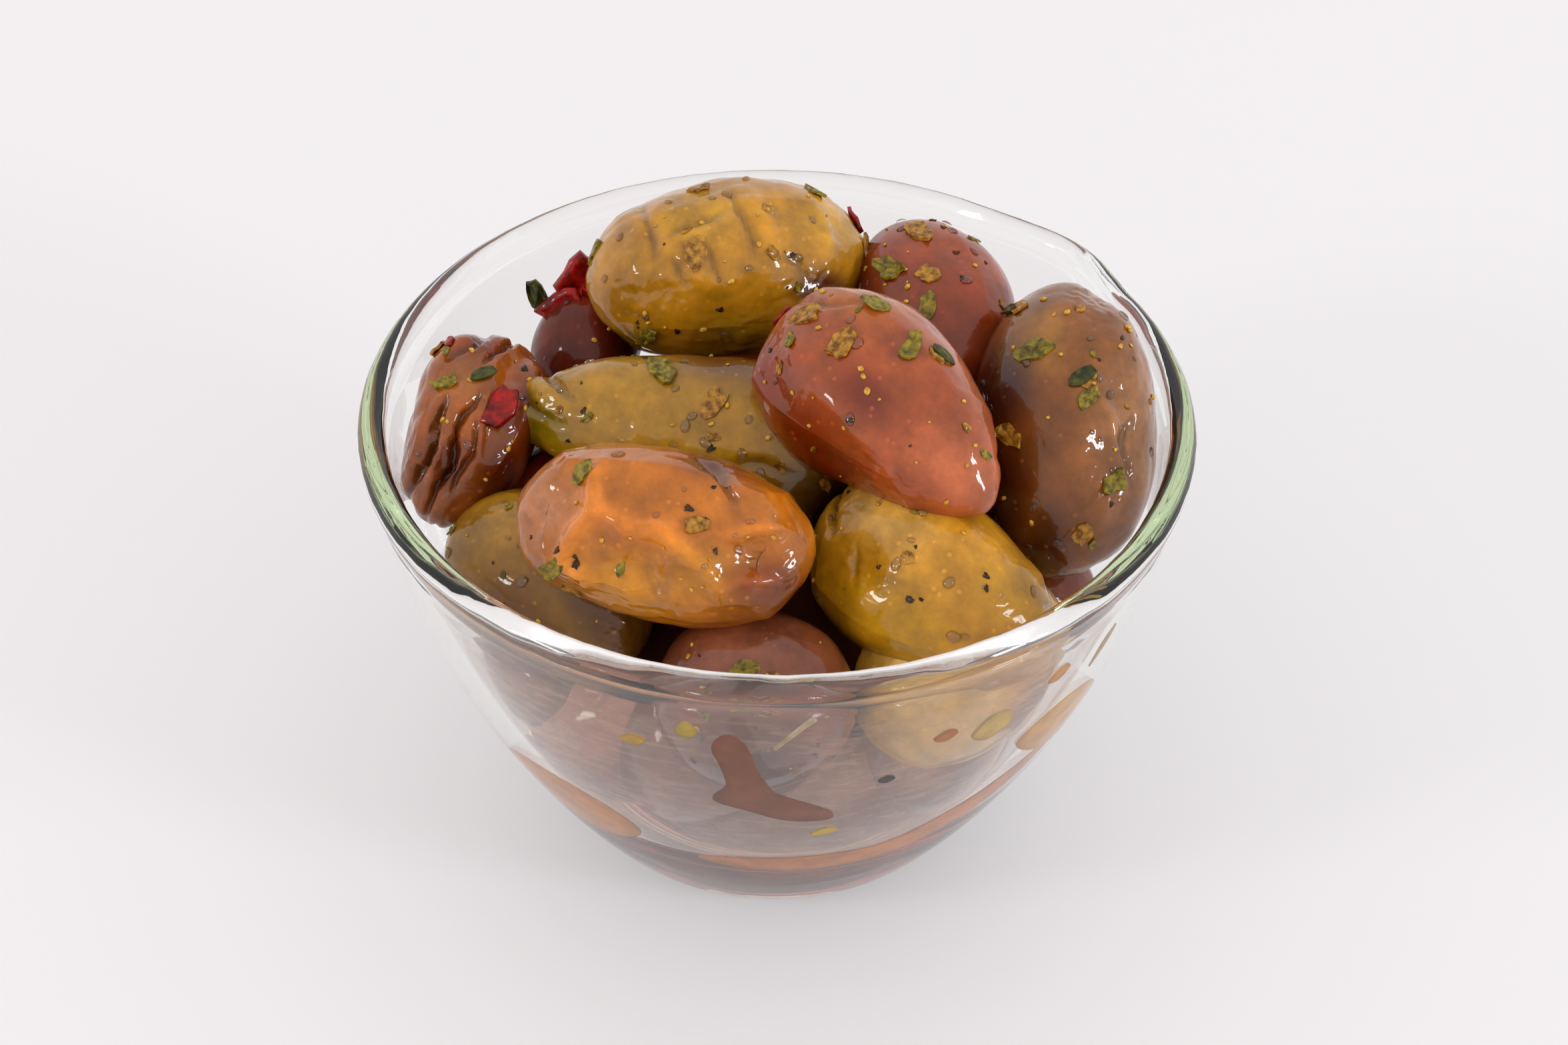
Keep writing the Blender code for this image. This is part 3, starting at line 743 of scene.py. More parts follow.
def wet_contact():
    # Marinade caught between skin and glass: the deep colour of what it wets, hardly shiny
    # from outside, because the glass lies over it.
    material, tree, shader = new_material("marinade_oil_held_against_glass")
    stain = add_node(tree, "ShaderNodeAttribute", {"attribute_name": "stain"})
    place = add_node(tree, "ShaderNodeTexCoord")
    noise = add_node(tree, "ShaderNodeTexNoise", {"Scale": 1.0 / (3.0 * MM), "Detail": 3.0},
                     {"Vector": place.outputs["Object"]})
    spread = add_node(tree, "ShaderNodeMapRange",
                      {"From Min": 0.35, "From Max": 0.65, "To Min": 0.82, "To Max": 1.15},
                      {"Value": noise.outputs["Fac"]})
    shade = add_node(tree, "ShaderNodeVectorMath", {"operation": "SCALE"},
                     {0: stain.outputs["Color"], "Scale": spread.outputs[0]})
    tree.links.new(shade.outputs[0], shader.inputs["Base Color"])
    set_inputs(shader, {"Roughness": 0.4, "Specular IOR Level": 0.08})
    return material


# Shapes.

def olive_frame(olive):
    """The olive's place: X along it, Z as near to the camera's direction as it can be."""
    direction = math.radians(olive.around)
    centre = Vector((olive.out * RIM_RADIUS * math.cos(direction),
                     olive.out * RIM_RADIUS * math.sin(direction),
                     olive.up * BOWL_HEIGHT))
    heading, pitch = math.radians(olive.heading), math.radians(olive.pitch)
    along = Vector((math.cos(heading) * math.cos(pitch),
                    math.sin(heading) * math.cos(pitch), math.sin(pitch)))
    facing = (TO_CAMERA - TO_CAMERA.dot(along) * along).normalized()
    across = facing.cross(along)
    matrix = Matrix((along, across, facing)).transposed().to_4x4()
    matrix.translation = centre
    return matrix


def distance_to_run(points, run):
    """How far each point is from a run of straight pieces, and how far along it, 0 to 1."""
    best = np.full(len(points), 1e9)
    reached = np.full(len(points), 0.5)
    if len(run) == 1:
        return np.linalg.norm(points - run[0], axis=1), reached
    lengths = [np.linalg.norm(b - a) for a, b in zip(run, run[1:])]
    gone = 0.0
    for a, b, length in zip(run, run[1:], lengths):
        step = b - a
        share = np.clip(((points - a) @ step) / (step @ step), 0.0, 1.0)
        away = np.linalg.norm(points - (a + share[:, None] * step), axis=1)
        nearer = away < best
        best = np.where(nearer, away, best)
        reached = np.where(nearer, (gone + share * length) / sum(lengths), reached)
        gone += length
    return best, reached


def weigh_vertices(piece, name, amount):
    """A vertex group with these weights, leaving out those of almost nothing."""
    group = piece.vertex_groups.new(name=name)
    for index in np.flatnonzero(amount > 1e-3):
        group.add([int(index)], float(amount[index]), "REPLACE")


def paint_crinkles(piece, olive, spots):
    """Fine crazed wrinkles over parts of the skin, which break up its highlights."""
    places = vertex_places(piece) / MM
    half = np.array((0.5 * olive.length, 0.5 * olive.girth))
    amount = np.zeros(len(places))
    for along, across, radius in spots:
        for side in (1.0, -1.0):
            away = np.linalg.norm(places[:, :2] / half - (side * along, across), axis=1)
            here = np.exp(-(away / radius) ** 4) * (side * places[:, 2] > -1.0)
            amount = np.maximum(amount, here)
    weigh_vertices(piece, "crinkles", amount)


def paint_marks(piece, olive, marks):
    """Weights for the raised and the sunken marks, on the upper side and, turned, below, and the
    painted shading of the narrow marks.
    """
    places = vertex_places(piece) / MM
    half = np.array((0.5 * olive.length, 0.5 * olive.girth))
    depth = np.zeros(len(places))
    painted_fold_shading = np.zeros(len(places))
    for deep, width, run in marks:
        for side in (1.0, -1.0):
            turned = np.array([(side * u, v) for u, v in run]) * half
            # A mark wavers on its way and dies out towards its ends.
            flat = places[:, :2] + (0.26 * np.sin(0.9 * places[:, 1::-1] + deep * 7.0)
                                    + 0.06 * np.sin(3.7 * places[:, 1::-1] + width * 9.0))
            away, reached = distance_to_run(flat, turned)
            faces_side = np.clip(0.5 + 0.35 * side * places[:, 2], 0.0, 1.0)
            fade = 0.35 + 0.65 * np.sin(math.pi * reached) ** 0.7
            spread = width * (0.6 + 0.4 * fade)
            amount = deep * faces_side * fade * np.exp(-(away / spread) ** 2)
            depth += amount
            # Narrow marks also store painted shading: shade in the sunken ones, light on the raised
            # ones.
            if width < NARROW_MARK:
                painted_fold_shading -= amount
    keep_values(piece, "crease", "FLOAT", np.clip(painted_fold_shading, -1.0, 1.0))
    for name, sign in (("raised", 1.0), ("sunken", -1.0)):
        amount = np.clip(sign * depth, 0.0, None)
        most = float(amount.max())
        if most < 1e-3:
            continue
        group = piece.vertex_groups.new(name=name)
        for index in np.flatnonzero(amount > 1e-3):
            group.add([int(index)], float(amount[index] / most), "REPLACE")
        push = piece.modifiers.new(name, "DISPLACE")
        push.vertex_group = name
        push.mid_level = 0.0
        push.strength = sign * most * MM


def add_displace(piece, name, size, strength, hard, seed, stretch):
    """A displacement by clouds of one size, stretched along the olive."""
    texture = bpy.data.textures.new(name, "CLOUDS")
    texture.noise_scale = size * MM
    texture.noise_type = "HARD_NOISE" if hard else "SOFT_NOISE"
    texture.noise_depth = 1 if hard else 0
    guide = bpy.data.objects.new(name, None)
    bpy.context.scene.collection.objects.link(guide)
    guide.location = (0.31 * seed, 0.17 * seed, 0.23 * seed)
    guide.scale = (stretch, 1.0, 1.0)
    modifier = piece.modifiers.new(name, "DISPLACE")
    modifier.texture = texture
    modifier.texture_coords = "OBJECT"
    modifier.texture_coords_object = guide
    modifier.strength = strength * MM
    modifier.mid_level = 0.5
    return guide


def roughen(piece, name, size, strength, seed, group=""):
    """Displaces a piece by soft clouds, over all of it or over a vertex group."""
    guide = add_displace(piece, name, size, strength, False, seed, 1.0)
    piece.modifiers[name].vertex_group = group
    apply_modifiers(piece)
    bpy.data.objects.remove(guide)


def fit_to_size(piece, olive):
    """Centres an olive on its place and scales it to its length and girth."""
    only(piece)
    low = Vector(min(v.co[i] for v in piece.data.vertices) for i in range(3))
    high = Vector(max(v.co[i] for v in piece.data.vertices) for i in range(3))
    piece.location = -0.5 * (low + high)
    bpy.ops.object.transform_apply(location=True, rotation=False, scale=False)
    girth = olive.girth * MM / (high.y - low.y)
    piece.scale = (olive.length * MM / (high.x - low.x), girth, girth)
    bpy.ops.object.transform_apply(location=False, rotation=False, scale=True)


def shape_olive(olive, seed, cuts):
    """Models one olive along X at the origin, then puts it in its place."""
    piece = new_piece(olive.name, bpy.ops.mesh.primitive_cube_add, size=2.0 * MM)
    edit_mode()
    on_all(bpy.ops.mesh.subdivide, number_cuts=cuts)
    object_mode()
    ball = piece.modifiers.new("ball", "CAST")
    ball.factor, ball.size, ball.use_radius_as_size = 1.0, MM, False
    apply_modifiers(piece)
    piece.scale = (0.5 * olive.length, 0.5 * olive.girth, 0.5 * olive.girth)
    bpy.ops.object.transform_apply(location=True, rotation=True, scale=True)
    end = 0.5 * olive.length * MM * (1.0 if olive.taper > 0 else -1.0)
    edit_mode()
    select_where(piece, lambda co: co.x / end > 0.96)
    slim = 1.0 - abs(olive.taper)
    bpy.ops.transform.resize(value=(1.0, slim, slim),
                             center_override=(end, 0.5 * olive.tip[1] * MM, 0.0),
                             use_proportional_edit=True, proportional_edit_falloff="SMOOTH",
                             proportional_size=0.9 * abs(end) * 2.0)
    if any(olive.tip):
        pull = Vector((math.copysign(olive.tip[0], end), olive.tip[1], 0.0)) * MM
        select_where(piece, lambda co: co.x / end > 0.985)
        bpy.ops.transform.translate(value=pull, use_proportional_edit=True,
                                    proportional_edit_falloff="SHARP",
                                    proportional_size=0.75 * olive.girth * MM)
    object_mode()
    bluntness = piece.modifiers.new("blunt", "CAST")
    bluntness.cast_type = "CUBOID"
    bluntness.factor = olive.blunt
    guides = [add_displace(piece, "lumps", 11.0, 2.0 * olive.lumps, False, seed, 1.3),
              add_displace(piece, "wrinkles", 5.5, 2.0 * olive.wrinkles, True, seed + 5, 1.5)]
    apply_modifiers(piece)
    for guide in guides:
        bpy.data.objects.remove(guide)
    fit_to_size(piece, olive)
    if olive.name in CRINKLES:
        paint_crinkles(piece, olive, CRINKLES[olive.name])
        guide = add_displace(piece, "crinkles", 1.7, 0.34, True, seed + 9, 1.3)
        piece.modifiers["crinkles"].vertex_group = "crinkles"
    paint_marks(piece, olive, MARKS.get(olive.name, ()))
    apply_modifiers(piece)
    if olive.name in CRINKLES:
        bpy.data.objects.remove(guide)
    paint_tones(piece, olive)
    piece.matrix_world = olive_frame(olive)
    return piece


def paint_tones(piece, olive):
    """Keeps the olive's own coordinates and its patches of tone for the material: partly its own
    blotches, partly painted shade below and painted light above.
    """
    places = vertex_places(piece)
    keep_values(piece, "skin", "FLOAT_VECTOR", places)
    places = places / MM
    half = np.array((0.5 * olive.length, 0.5 * olive.girth))
    tones = np.zeros((len(places), 4))
    tones[:, 3] = 1.0
    for tone, along, across, radius in SKINS[olive.skin].patches:
        away = np.linalg.norm((places[:, :2] / half - (along, across)), axis=1)
        amount = np.exp(-(away / radius) ** 2)
        tones[:, tone - 1] = np.maximum(tones[:, tone - 1], amount)
    keep_values(piece, "tones", "FLOAT_COLOR", tones)


def add_olives(olives, first, cuts):
    """Models a run of olives, whose numbers seed their shapes and skins."""
    for number, olive in enumerate(olives, first):
        piece = shape_olive(olive, number + 1, cuts(olive))
        material = olive_skin(olive.name.replace("olive_", "olive_skin_brined_"),
                              SKINS[olive.skin], number + 1)
        finish_piece(piece, material, "olive_heap")


# Marinade held against the glass: outline as (direction in degrees, height in mm), stain.
OIL_BRIDGES = (
    (((-98.5, 44.0), (-96.3, 46.2), (-93.5, 44.3), (-91.5, 39.0), (-88.5, 35.0), (-81.0, 31.8),
      (-81.0, 30.0), (-87.5, 30.2), (-94.0, 32.3), (-99.0, 34.0), (-96.8, 37.0),
        (-97.5, 41.0)), "8E4A1C"),
    (((-148.0, 20.0), (-141.0, 26.0), (-129.0, 27.5), (-119.0, 25.5), (-114.5, 21.5),
        (-122.0, 17.4),
      (-134.0, 16.2)), "E08A14"),
    (((-49.0, 34.0), (-42.0, 37.5), (-33.0, 36.5), (-27.5, 31.5), (-31.0, 27.5),
        (-40.0, 28.5)), "E8A42C"),
    (((-37.0, 41.0), (-34.0, 43.5), (-33.0, 45.5), (-35.5, 44.0)), "B88A20"),
    (((-83.5, 26.6), (-81.0, 27.8), (-79.0, 27.2), (-81.5, 26.2)), "D8B010"),
    (((-60.0, 40.5), (-57.5, 43.0), (-54.0, 42.6), (-53.5, 40.2), (-57.0, 39.0)), "E0B860"),
    (((-47.5, 44.0), (-45.5, 45.4), (-43.5, 45.0), (-45.0, 43.6)), "D89030"),
    (((-66.5, 42.2), (-64.5, 43.2), (-62.8, 42.6), (-64.5, 41.6)), "C87830"),
    (((-112.0, 42.5), (-110.0, 43.6), (-108.2, 43.0), (-110.0, 42.0)), "D0A020"),
    (((-103.5, 46.0), (-102.0, 47.6), (-100.4, 46.2), (-102.0, 45.2)), "C8A830"),
    (((-74.0, 36.6), (-72.6, 37.2), (-71.4, 36.8), (-72.6, 36.2)), "3A2210"),
    (((-104.0, 18.2), (-97.0, 19.8), (-80.0, 19.4), (-62.0, 22.5), (-47.0, 27.0), (-36.0, 29.5),
      (-40.0, 24.5), (-54.0, 19.6), (-70.0, 16.8), (-90.0, 16.2)), "DC8234"),
)
CLEARED_SPOTS = (
    (-92.0, 37.0, 7.0), (-131.0, 21.0, 8.0), (-38.0, 32.0, 7.0), (-151.0, 36.0, 9.0),
        (-30.0, 24.0, 6.0),
    (-112.0, 22.0, 6.0),
)

# The scattered pieces.

Scrap = namedtuple("Scrap", "olive along across size turn")


def scraps(*groups):
    """Scraps from the (along, across, size, turn) of those that lie on each olive."""
    return [Scrap(olive, *place) for olive, places in groups for place in places]


# Each lies on an olive's upper side, in the same fractions as the marks.
HERB_FLAKES = scraps(
    ("olive_back_tan", (
        (-0.17, 0.87, 3.1, 10), (-0.66, -0.64, 3.1, 60), (-0.31, 0.13, 3.8, 80),
        (-0.92, 0.37, 3.6, 90), (0.97, 0.02, 3.4, 20), (0.66, 0.70, 3.4, -10))),
    ("olive_back_maroon", (
        (-0.35, 0.30, 4.1, 70), (-0.10, -0.25, 4.3, 20), (0.15, 0.10, 3.1, 30),
        (0.45, -0.10, 2.9, 100))),
    ("olive_centre_red", (
        (-0.65, 0.24, 3.8, 60), (-0.29, 0.76, 3.6, 40), (-0.24, 0.24, 3.8, 80),
        (0.10, 0.64, 3.4, 50), (0.24, 0.71, 2.9, 80), (-0.57, -0.08, 2.4, 10))),
    ("olive_right_brown", (
        (0.74, 0.53, 2.9, 30), (0.35, 0.38, 4.3, 70), (0.12, -0.12, 3.1, 10),
        (0.0, -0.18, 3.1, 50), (-0.24, 0.60, 3.4, 0), (-0.49, -0.49, 3.6, 20),
        (-0.82, -0.17, 2.9, 90))),
    ("olive_long_green", ((-0.15, 0.61, 4.1, 20), (0.16, 0.38, 3.6, 60))),
    ("olive_front_orange", (
        (-0.49, 0.51, 3.4, 80), (0.32, 0.19, 2.6, 0), (-0.59, -0.57, 3.4, 40),
        (-0.51, -0.79, 2.9, 10))),
    ("olive_left_wrinkled", ((0.12, 0.54, 3.1, 70), (0.6, 0.9, 3.1, 30))),
    ("olive_low_plum", ((-0.1, 0.35, 3.1, 30), (0.2, 0.15, 2.9, 80))),
)
CHILLI_PIECES = scraps(
    ("olive_back_tan", ((0.95, 0.34, 3.2, 40), (0.50, -0.62, 3.8, 20), (0.28, -0.93, 4.4, 0))),
    ("olive_centre_red", ((-0.95, 0.10, 3.2, 90),)),
    ("olive_left_wrinkled", ((0.05, -0.40, 5.2, 80), (0.60, 0.76, 2.0, 30))),
    ("olive_small_dark", ((0.30, 0.25, 6.0, 20),)),
)
# Standing pieces: direction in degrees, share of the rim radius, height in mm, size in
# mm, then how far it leans, turns about upright and tips over, in degrees.
Standing = namedtuple("Standing", "around out level size lean turn tip")
STANDING_CHILLI = (
    Standing(132.4, 0.752, 53.2, 6.6, 80, 12, 62), Standing(136.4, 0.754, 50.4, 6.0, 64, -20, 40),
    Standing(133.0, 0.700, 50.6, 4.6, 50, 30, 100),
)
STANDING_LEAVES = (
    Standing(137.8, 0.826, 50.6, 4.4, 90, 0, 108),
)
DARK_LEAVES = scraps(
    ("olive_left_wrinkled", ((0.30, 0.05, 3.0, 20),)),
    ("olive_right_brown", ((0.74, 0.62, 3.2, 60),)),
    ("olive_centre_red", ((0.24, 0.74, 3.0, 80),)),
    ("olive_right_brown", ((0.14, -0.10, 3.4, 30),)),
)


def standing_matrix(piece):
    """The place of a scrap that stands up out of the heap."""
    turn = math.radians(piece.around)
    place = Vector((piece.out * RIM_RADIUS * math.cos(turn),
                    piece.out * RIM_RADIUS * math.sin(turn), piece.level * MM))
    return (Matrix.Translation(place) @ Matrix.Rotation(math.radians(piece.turn), 4, "Z")
            @ Matrix.Rotation(math.radians(piece.lean), 4, "X")
            @ Matrix.Rotation(math.radians(piece.tip), 4, "Z"))


def crumb_form(name, rng, rough=0.22, flat=None):
    """One crumb of seed, or a bead of oil: a grain about a unit across."""
    piece = new_piece(name, bpy.ops.mesh.primitive_ico_sphere_add, subdivisions=2,
                      radius=0.5 * MM)
    for vert in piece.data.vertices:
        vert.co *= 1.0 + rough * rng.uniform(-1.0, 1.0)
    piece.scale = (1.0, rng.uniform(0.6, 0.9), flat or rng.uniform(0.4, 0.6))
    bpy.ops.object.transform_apply(location=True, rotation=True, scale=True)
    return piece


def surface_of(piece):
    """A tree for finding places on a piece, in the row frame."""
    graph = bpy.context.evaluated_depsgraph_get()
    return BVHTree.FromObject(piece, graph)


def place_on_olive(tree, olive, along, across):
    """The point and outward normal on an olive's upper side."""
    matrix = olive_frame(olive)
    start = matrix @ Vector((along * 0.5 * olive.length * MM, across * 0.5 * olive.girth * MM,
                             olive.girth * MM))
    down = -(matrix.to_3x3() @ Vector((0.0, 0.0, 1.0)))
    point, normal, _, _ = tree.ray_cast(start, down)
    if point is None:
        inner = matrix @ Vector((along * 0.46 * olive.length * MM,
                                 across * 0.46 * olive.girth * MM, 0.0))
        point, normal, _, _ = tree.find_nearest(inner)
    return point, normal


def resting_matrix(point, normal, turn, lift):
    """Lays a scrap on a surface, turned about the surface's normal."""
    base = normal.to_track_quat("Z", "Y").to_matrix().to_4x4()
    matrix = Matrix.Translation(point + normal * lift) @ base
    return matrix @ Matrix.Rotation(math.radians(turn), 4, "Z")


def wall_point(direction, level, inset):
    """A point on the inside of the glass, at a direction in degrees and a height in mm."""
    radius = wall_radius(level * MM, inset * MM)
    turn = math.radians(direction)
    return Vector((radius * math.cos(turn), radius * math.sin(turn), level * MM))


def smooth_loop(points, steps):
    """A rounder closed outline through the same points."""
    made = []
    count = len(points)
    for index in range(count):
        a, b, c, d = (Vector(points[(index + shift) % count]) for shift in (-1, 0, 1, 2))
        for step in range(steps):
            t = step / steps
            made.append(0.5 * ((2.0 * b) + (c - a) * t
                               + (2.0 * a - 5.0 * b + 4.0 * c - d) * t * t
                               + (3.0 * b - a - 3.0 * c + d) * t ** 3))
    return made


def bridge_form(outline, stain):
    """Oil held between an olive and the glass: a thin lens that reaches into the wall."""
    loop = smooth_loop(outline, 5)
    piece = new_piece("oil_bridges", bpy.ops.mesh.primitive_circle_add, vertices=len(loop),
                      radius=1.0, fill_type="NGON")
    # It is laid out flat, with a degree round the wall about as long as it is there.
    degree = 0.7
    for vert, point in zip(piece.data.vertices, loop):
        vert.co = (point.x * degree, point.y, 0.0)
    edit_mode()
    on_all(bpy.ops.mesh.poke)
    bpy.ops.mesh.subdivide(number_cuts=3)
    object_mode()
    for vert in piece.data.vertices:
        vert.co = wall_point(vert.co.x / degree, vert.co.y, -0.10)
    wall = piece.modifiers.new("depth", "SOLIDIFY")
    wall.thickness, wall.offset = 0.55 * MM, 0.0
    apply_modifiers(piece)
    face_outwards(piece)
    keep_values(piece, "stain", "FLOAT_COLOR", np.tile(linear(stain), len(piece.data.vertices)))
    return piece


def flake_form(name, rng, length, width, thickness, curl, ragged):
    """One torn flake: a grid cut to a ragged outline, curled and given its thickness."""
    piece = new_piece(name, bpy.ops.mesh.primitive_circle_add, vertices=12, radius=1.0,
                      fill_type="NGON")
    for vert in piece.data.vertices:
        reach = 1.0 + ragged * rng.uniform(-1.0, 1.0)
        vert.co = Vector((vert.co.x * reach * 0.5 * length, vert.co.y * reach * 0.5 * width, 0.0))
    edit_mode()
    on_all(bpy.ops.mesh.inset, thickness=0.22 * width)
    bpy.ops.mesh.poke()
    object_mode()
    for vert in piece.data.vertices:
        vert.co.z = curl * (vert.co.x ** 2) / length + curl * 0.8 * (vert.co.y ** 2) / width
        vert.co.z += 0.06 * width * rng.uniform(-1.0, 1.0)
    wall = piece.modifiers.new("wall", "SOLIDIFY")
    wall.thickness, wall.offset = thickness, 0.0
    apply_modifiers(piece)
    return piece


def scatter(name, forms, spots, material, smooth=True):
    """Copies small forms to their spots and joins them into one piece."""
    copies = []
    for number, (matrix, size) in enumerate(spots):
        form = forms[number % len(forms)]
        copy = bpy.data.objects.new(name, form.data.copy())
        bpy.context.scene.collection.objects.link(copy)
        copy.matrix_world = matrix @ Matrix.Scale(size, 4)
        copies.append(copy)
    piece = join_pieces(copies)
    piece.name = piece.data.name = name
    for form in forms:
        bpy.data.objects.remove(form)
    return finish_piece(piece, material, smooth=smooth)


# Operators.

class OliveBowlSettings(bpy.types.PropertyGroup):
    """Sizes and colours of the bowl and what is in it"""

    glass_tint: bpy.props.FloatVectorProperty(
        name="Glass tint", description="Light that thick glass lets through", subtype="COLOR",
        size=3, min=0.0, max=1.0, default=(0.885, 0.932, 0.815))
    glass_density: bpy.props.FloatProperty(
        name="Glass density", description="How fast the tint builds up in the glass, per metre",
        min=0.0, default=26.0)
    oil_tint: bpy.props.FloatVectorProperty(
        name="Marinade tint", description="Light that the marinade lets through", subtype="COLOR",
        size=3, min=0.0, max=1.0, default=(0.93, 0.40, 0.24))
    oil_density: bpy.props.FloatProperty(
        name="Marinade density", description="How fast the marinade darkens, per metre",
        min=0.0, default=210.0)


class OLIVEBOWL_OT_glass_bowl(bpy.types.Operator):
    """Turn the glass bowl, with its thick foot, rim bead and pouring lip"""

    bl_idname = "olive_bowl.glass_bowl"
    bl_label = "Glass Bowl"

    def execute(self, context):
        piece = turn_profile("bowl_glass", rim_profile(), 192)
        lip = Vector((math.cos(LIP_DIRECTION), math.sin(LIP_DIRECTION), 0.0))
        across = Vector((-lip.y, lip.x, 0.0))
        only(piece)
        edit_mode()
        select_where(piece, lambda co: co.z > BOWL_HEIGHT - 2.2 * BEAD_RADIUS
                     and co.dot(lip) > 0 and abs(co.dot(across)) < 1.2 * MM)
        bpy.ops.transform.translate(value=lip * LIP_REACH - Vector((0.0, 0.0, LIP_DROP)),
                                    use_proportional_edit=True,
                                    proportional_edit_falloff="SMOOTH",
                                    proportional_size=LIP_SPREAD)
        object_mode()
        # Fire polishing leaves the bead slightly wavy, which breaks up its highlights.
        rim = piece.vertex_groups.new(name="rim")
        for vert in piece.data.vertices:
            share = (vert.co.z - BOWL_HEIGHT + 7.0 * BEAD_RADIUS) / (5.5 * BEAD_RADIUS)
            rim.add([vert.index], min(1.0, max(0.0, share)), "REPLACE")
        roughen(piece, "fire_polish", 2.2, 0.10, 4, "rim")
        finish_piece(piece, soda_lime_glass(), "glass_bowl")
        return {"FINISHED"}


class OLIVEBOWL_OT_marinade_pool(bpy.types.Operator):
    """Fill the foot with marinade oil that wets the glass, with no gap at the wall"""

    bl_idname = "olive_bowl.marinade_pool"
    bl_label = "Marinade Pool"

    def execute(self, context):
        props = context.scene.olive_bowl
        inside = cut_between(
            side_curve(FLOOR_THICKNESS - POOL_OVERLAP, WALL_THICKNESS - POOL_OVERLAP),
            0.0, OIL_LEVEL + POOL_CLIMB)
        inside = [p for p in inside if p.y >= FLOOR_THICKNESS - 0.1 * MM]
        edge = inside[-1]
        surface = [Vector((edge.x - 0.5 * MM, OIL_LEVEL + 0.4 * MM)),
                   Vector((edge.x - 1.4 * MM, OIL_LEVEL + 0.08 * MM)),
                   Vector((edge.x - 3.0 * MM, OIL_LEVEL)),
                   Vector((0.5 * edge.x, OIL_LEVEL)), Vector((0.0, OIL_LEVEL))]
        piece = turn_profile("marinade_pool", [Vector((0.0, inside[0].y))] + inside + surface, 96)
        finish_piece(piece, marinade("marinade_oil_steeped", props.oil_tint, props.oil_density),
                     "marinade_oil")
        return {"FINISHED"}


class OLIVEBOWL_OT_top_olives(bpy.types.Operator):
    """Shape the olives at the top of the heap, each with its own creases and tones"""

    bl_idname = "olive_bowl.top_olives"
    bl_label = "Top Olives"

    def execute(self, context):
        add_olives(OLIVES[:TOP_OLIVES], 0, lambda olive: 63 if olive.name in MARKS else 39)
        return {"FINISHED"}


class OLIVEBOWL_OT_lower_olives(bpy.types.Operator):
    """Shape the olives lower in the heap and those sunk in the oil"""

    bl_idname = "olive_bowl.lower_olives"
    bl_label = "Lower Olives"

    def execute(self, context):
        add_olives(OLIVES[TOP_OLIVES:], TOP_OLIVES, lambda olive: 27)
        side = cut_between(side_curve(FLOOR_THICKNESS + CORE_INSET, WALL_THICKNESS + CORE_INSET),
                           OIL_LEVEL + 2.0 * MM, 36.0 * MM)
        profile = ([Vector((0.0, side[0].y))] + side
                   + [Vector((20.0 * MM, 42.0 * MM)), Vector((12.0 * MM, 44.0 * MM)),
                      Vector((0.0, 44.5 * MM))])
        # A core coloured as painted shade fills the deep gaps of the heap.
        core = turn_profile("heap_core", profile, 48)
        roughen(core, "core_lumps", 9.0, 5.0, 11)
        finish_piece(core, painted_shade_core(), "olive_heap")
        return {"FINISHED"}


class OLIVEBOWL_OT_oil_smears(bpy.types.Operator):
    """Smear oil over the inside of the glass, in a thin streaky film"""

    bl_idname = "olive_bowl.oil_smears"
    bl_label = "Oil Smears"

    def execute(self, context):
        low, high = OIL_LEVEL + 0.6 * MM, BOWL_HEIGHT - 4.5 * MM
        near, far = (cut_between(side_curve(FLOOR_THICKNESS + gap, WALL_THICKNESS + gap), low, high)
                     for gap in (0.05 * MM, 0.12 * MM))
        film = turn_profile("oil_smear_film", near + far[::-1] + [near[0]], 90,
                            FILM_START, FILM_SWEEP)
        places = vertex_places(film)
        around = np.degrees(np.arctan2(places[:, 1], places[:, 0]))
        height = places[:, 2] / MM
        cover = np.clip((FILM_HALF - np.abs(around - FILM_MIDDLE)) / FILM_FADE, 0.0, 1.0)
        cover *= 0.75 + 0.55 * np.clip((-around - 110.0) / 40.0, 0.0, 1.0)
        cover *= np.clip((high / MM - height) / 5.0, 0.0, 1.0)
        for direction, level, reach in CLEARED_SPOTS:
            away = np.hypot(np.radians(around - direction) * RIM_RADIUS / MM * 0.85,
                            height - level)
            cover *= 1.0 - 0.85 * np.exp(-(away / reach) ** 4)
        keep_values(film, "cover", "FLOAT", cover)
        finish_piece(film, smear_haze())
        bridges = [bridge_form(outline, stain) for outline, stain in OIL_BRIDGES]
        finish_piece(join_pieces(bridges), wet_contact())
        twig = new_piece("herb_twig", bpy.ops.mesh.primitive_cylinder_add, vertices=10,
                         radius=0.28 * MM, depth=6.4 * MM)
        edit_mode()
        on_all(bpy.ops.mesh.subdivide, number_cuts=3)
        object_mode()
        roughen(twig, "twig_knots", 1.2, 0.25, 2)
        ends = [wall_point(-89.5, 43.8, 0.45), wall_point(-84.5, 48.6, 0.45)]
        twig.location = 0.5 * (ends[0] + ends[1])
        twig.rotation_mode = "QUATERNION"
        twig.rotation_quaternion = (ends[1] - ends[0]).to_track_quat("Z", "Y")
        finish_piece(twig, dried_leaf("dried_stalk_straw", "A88A50", "D8C090", 1.2 * MM))
        return {"FINISHED"}


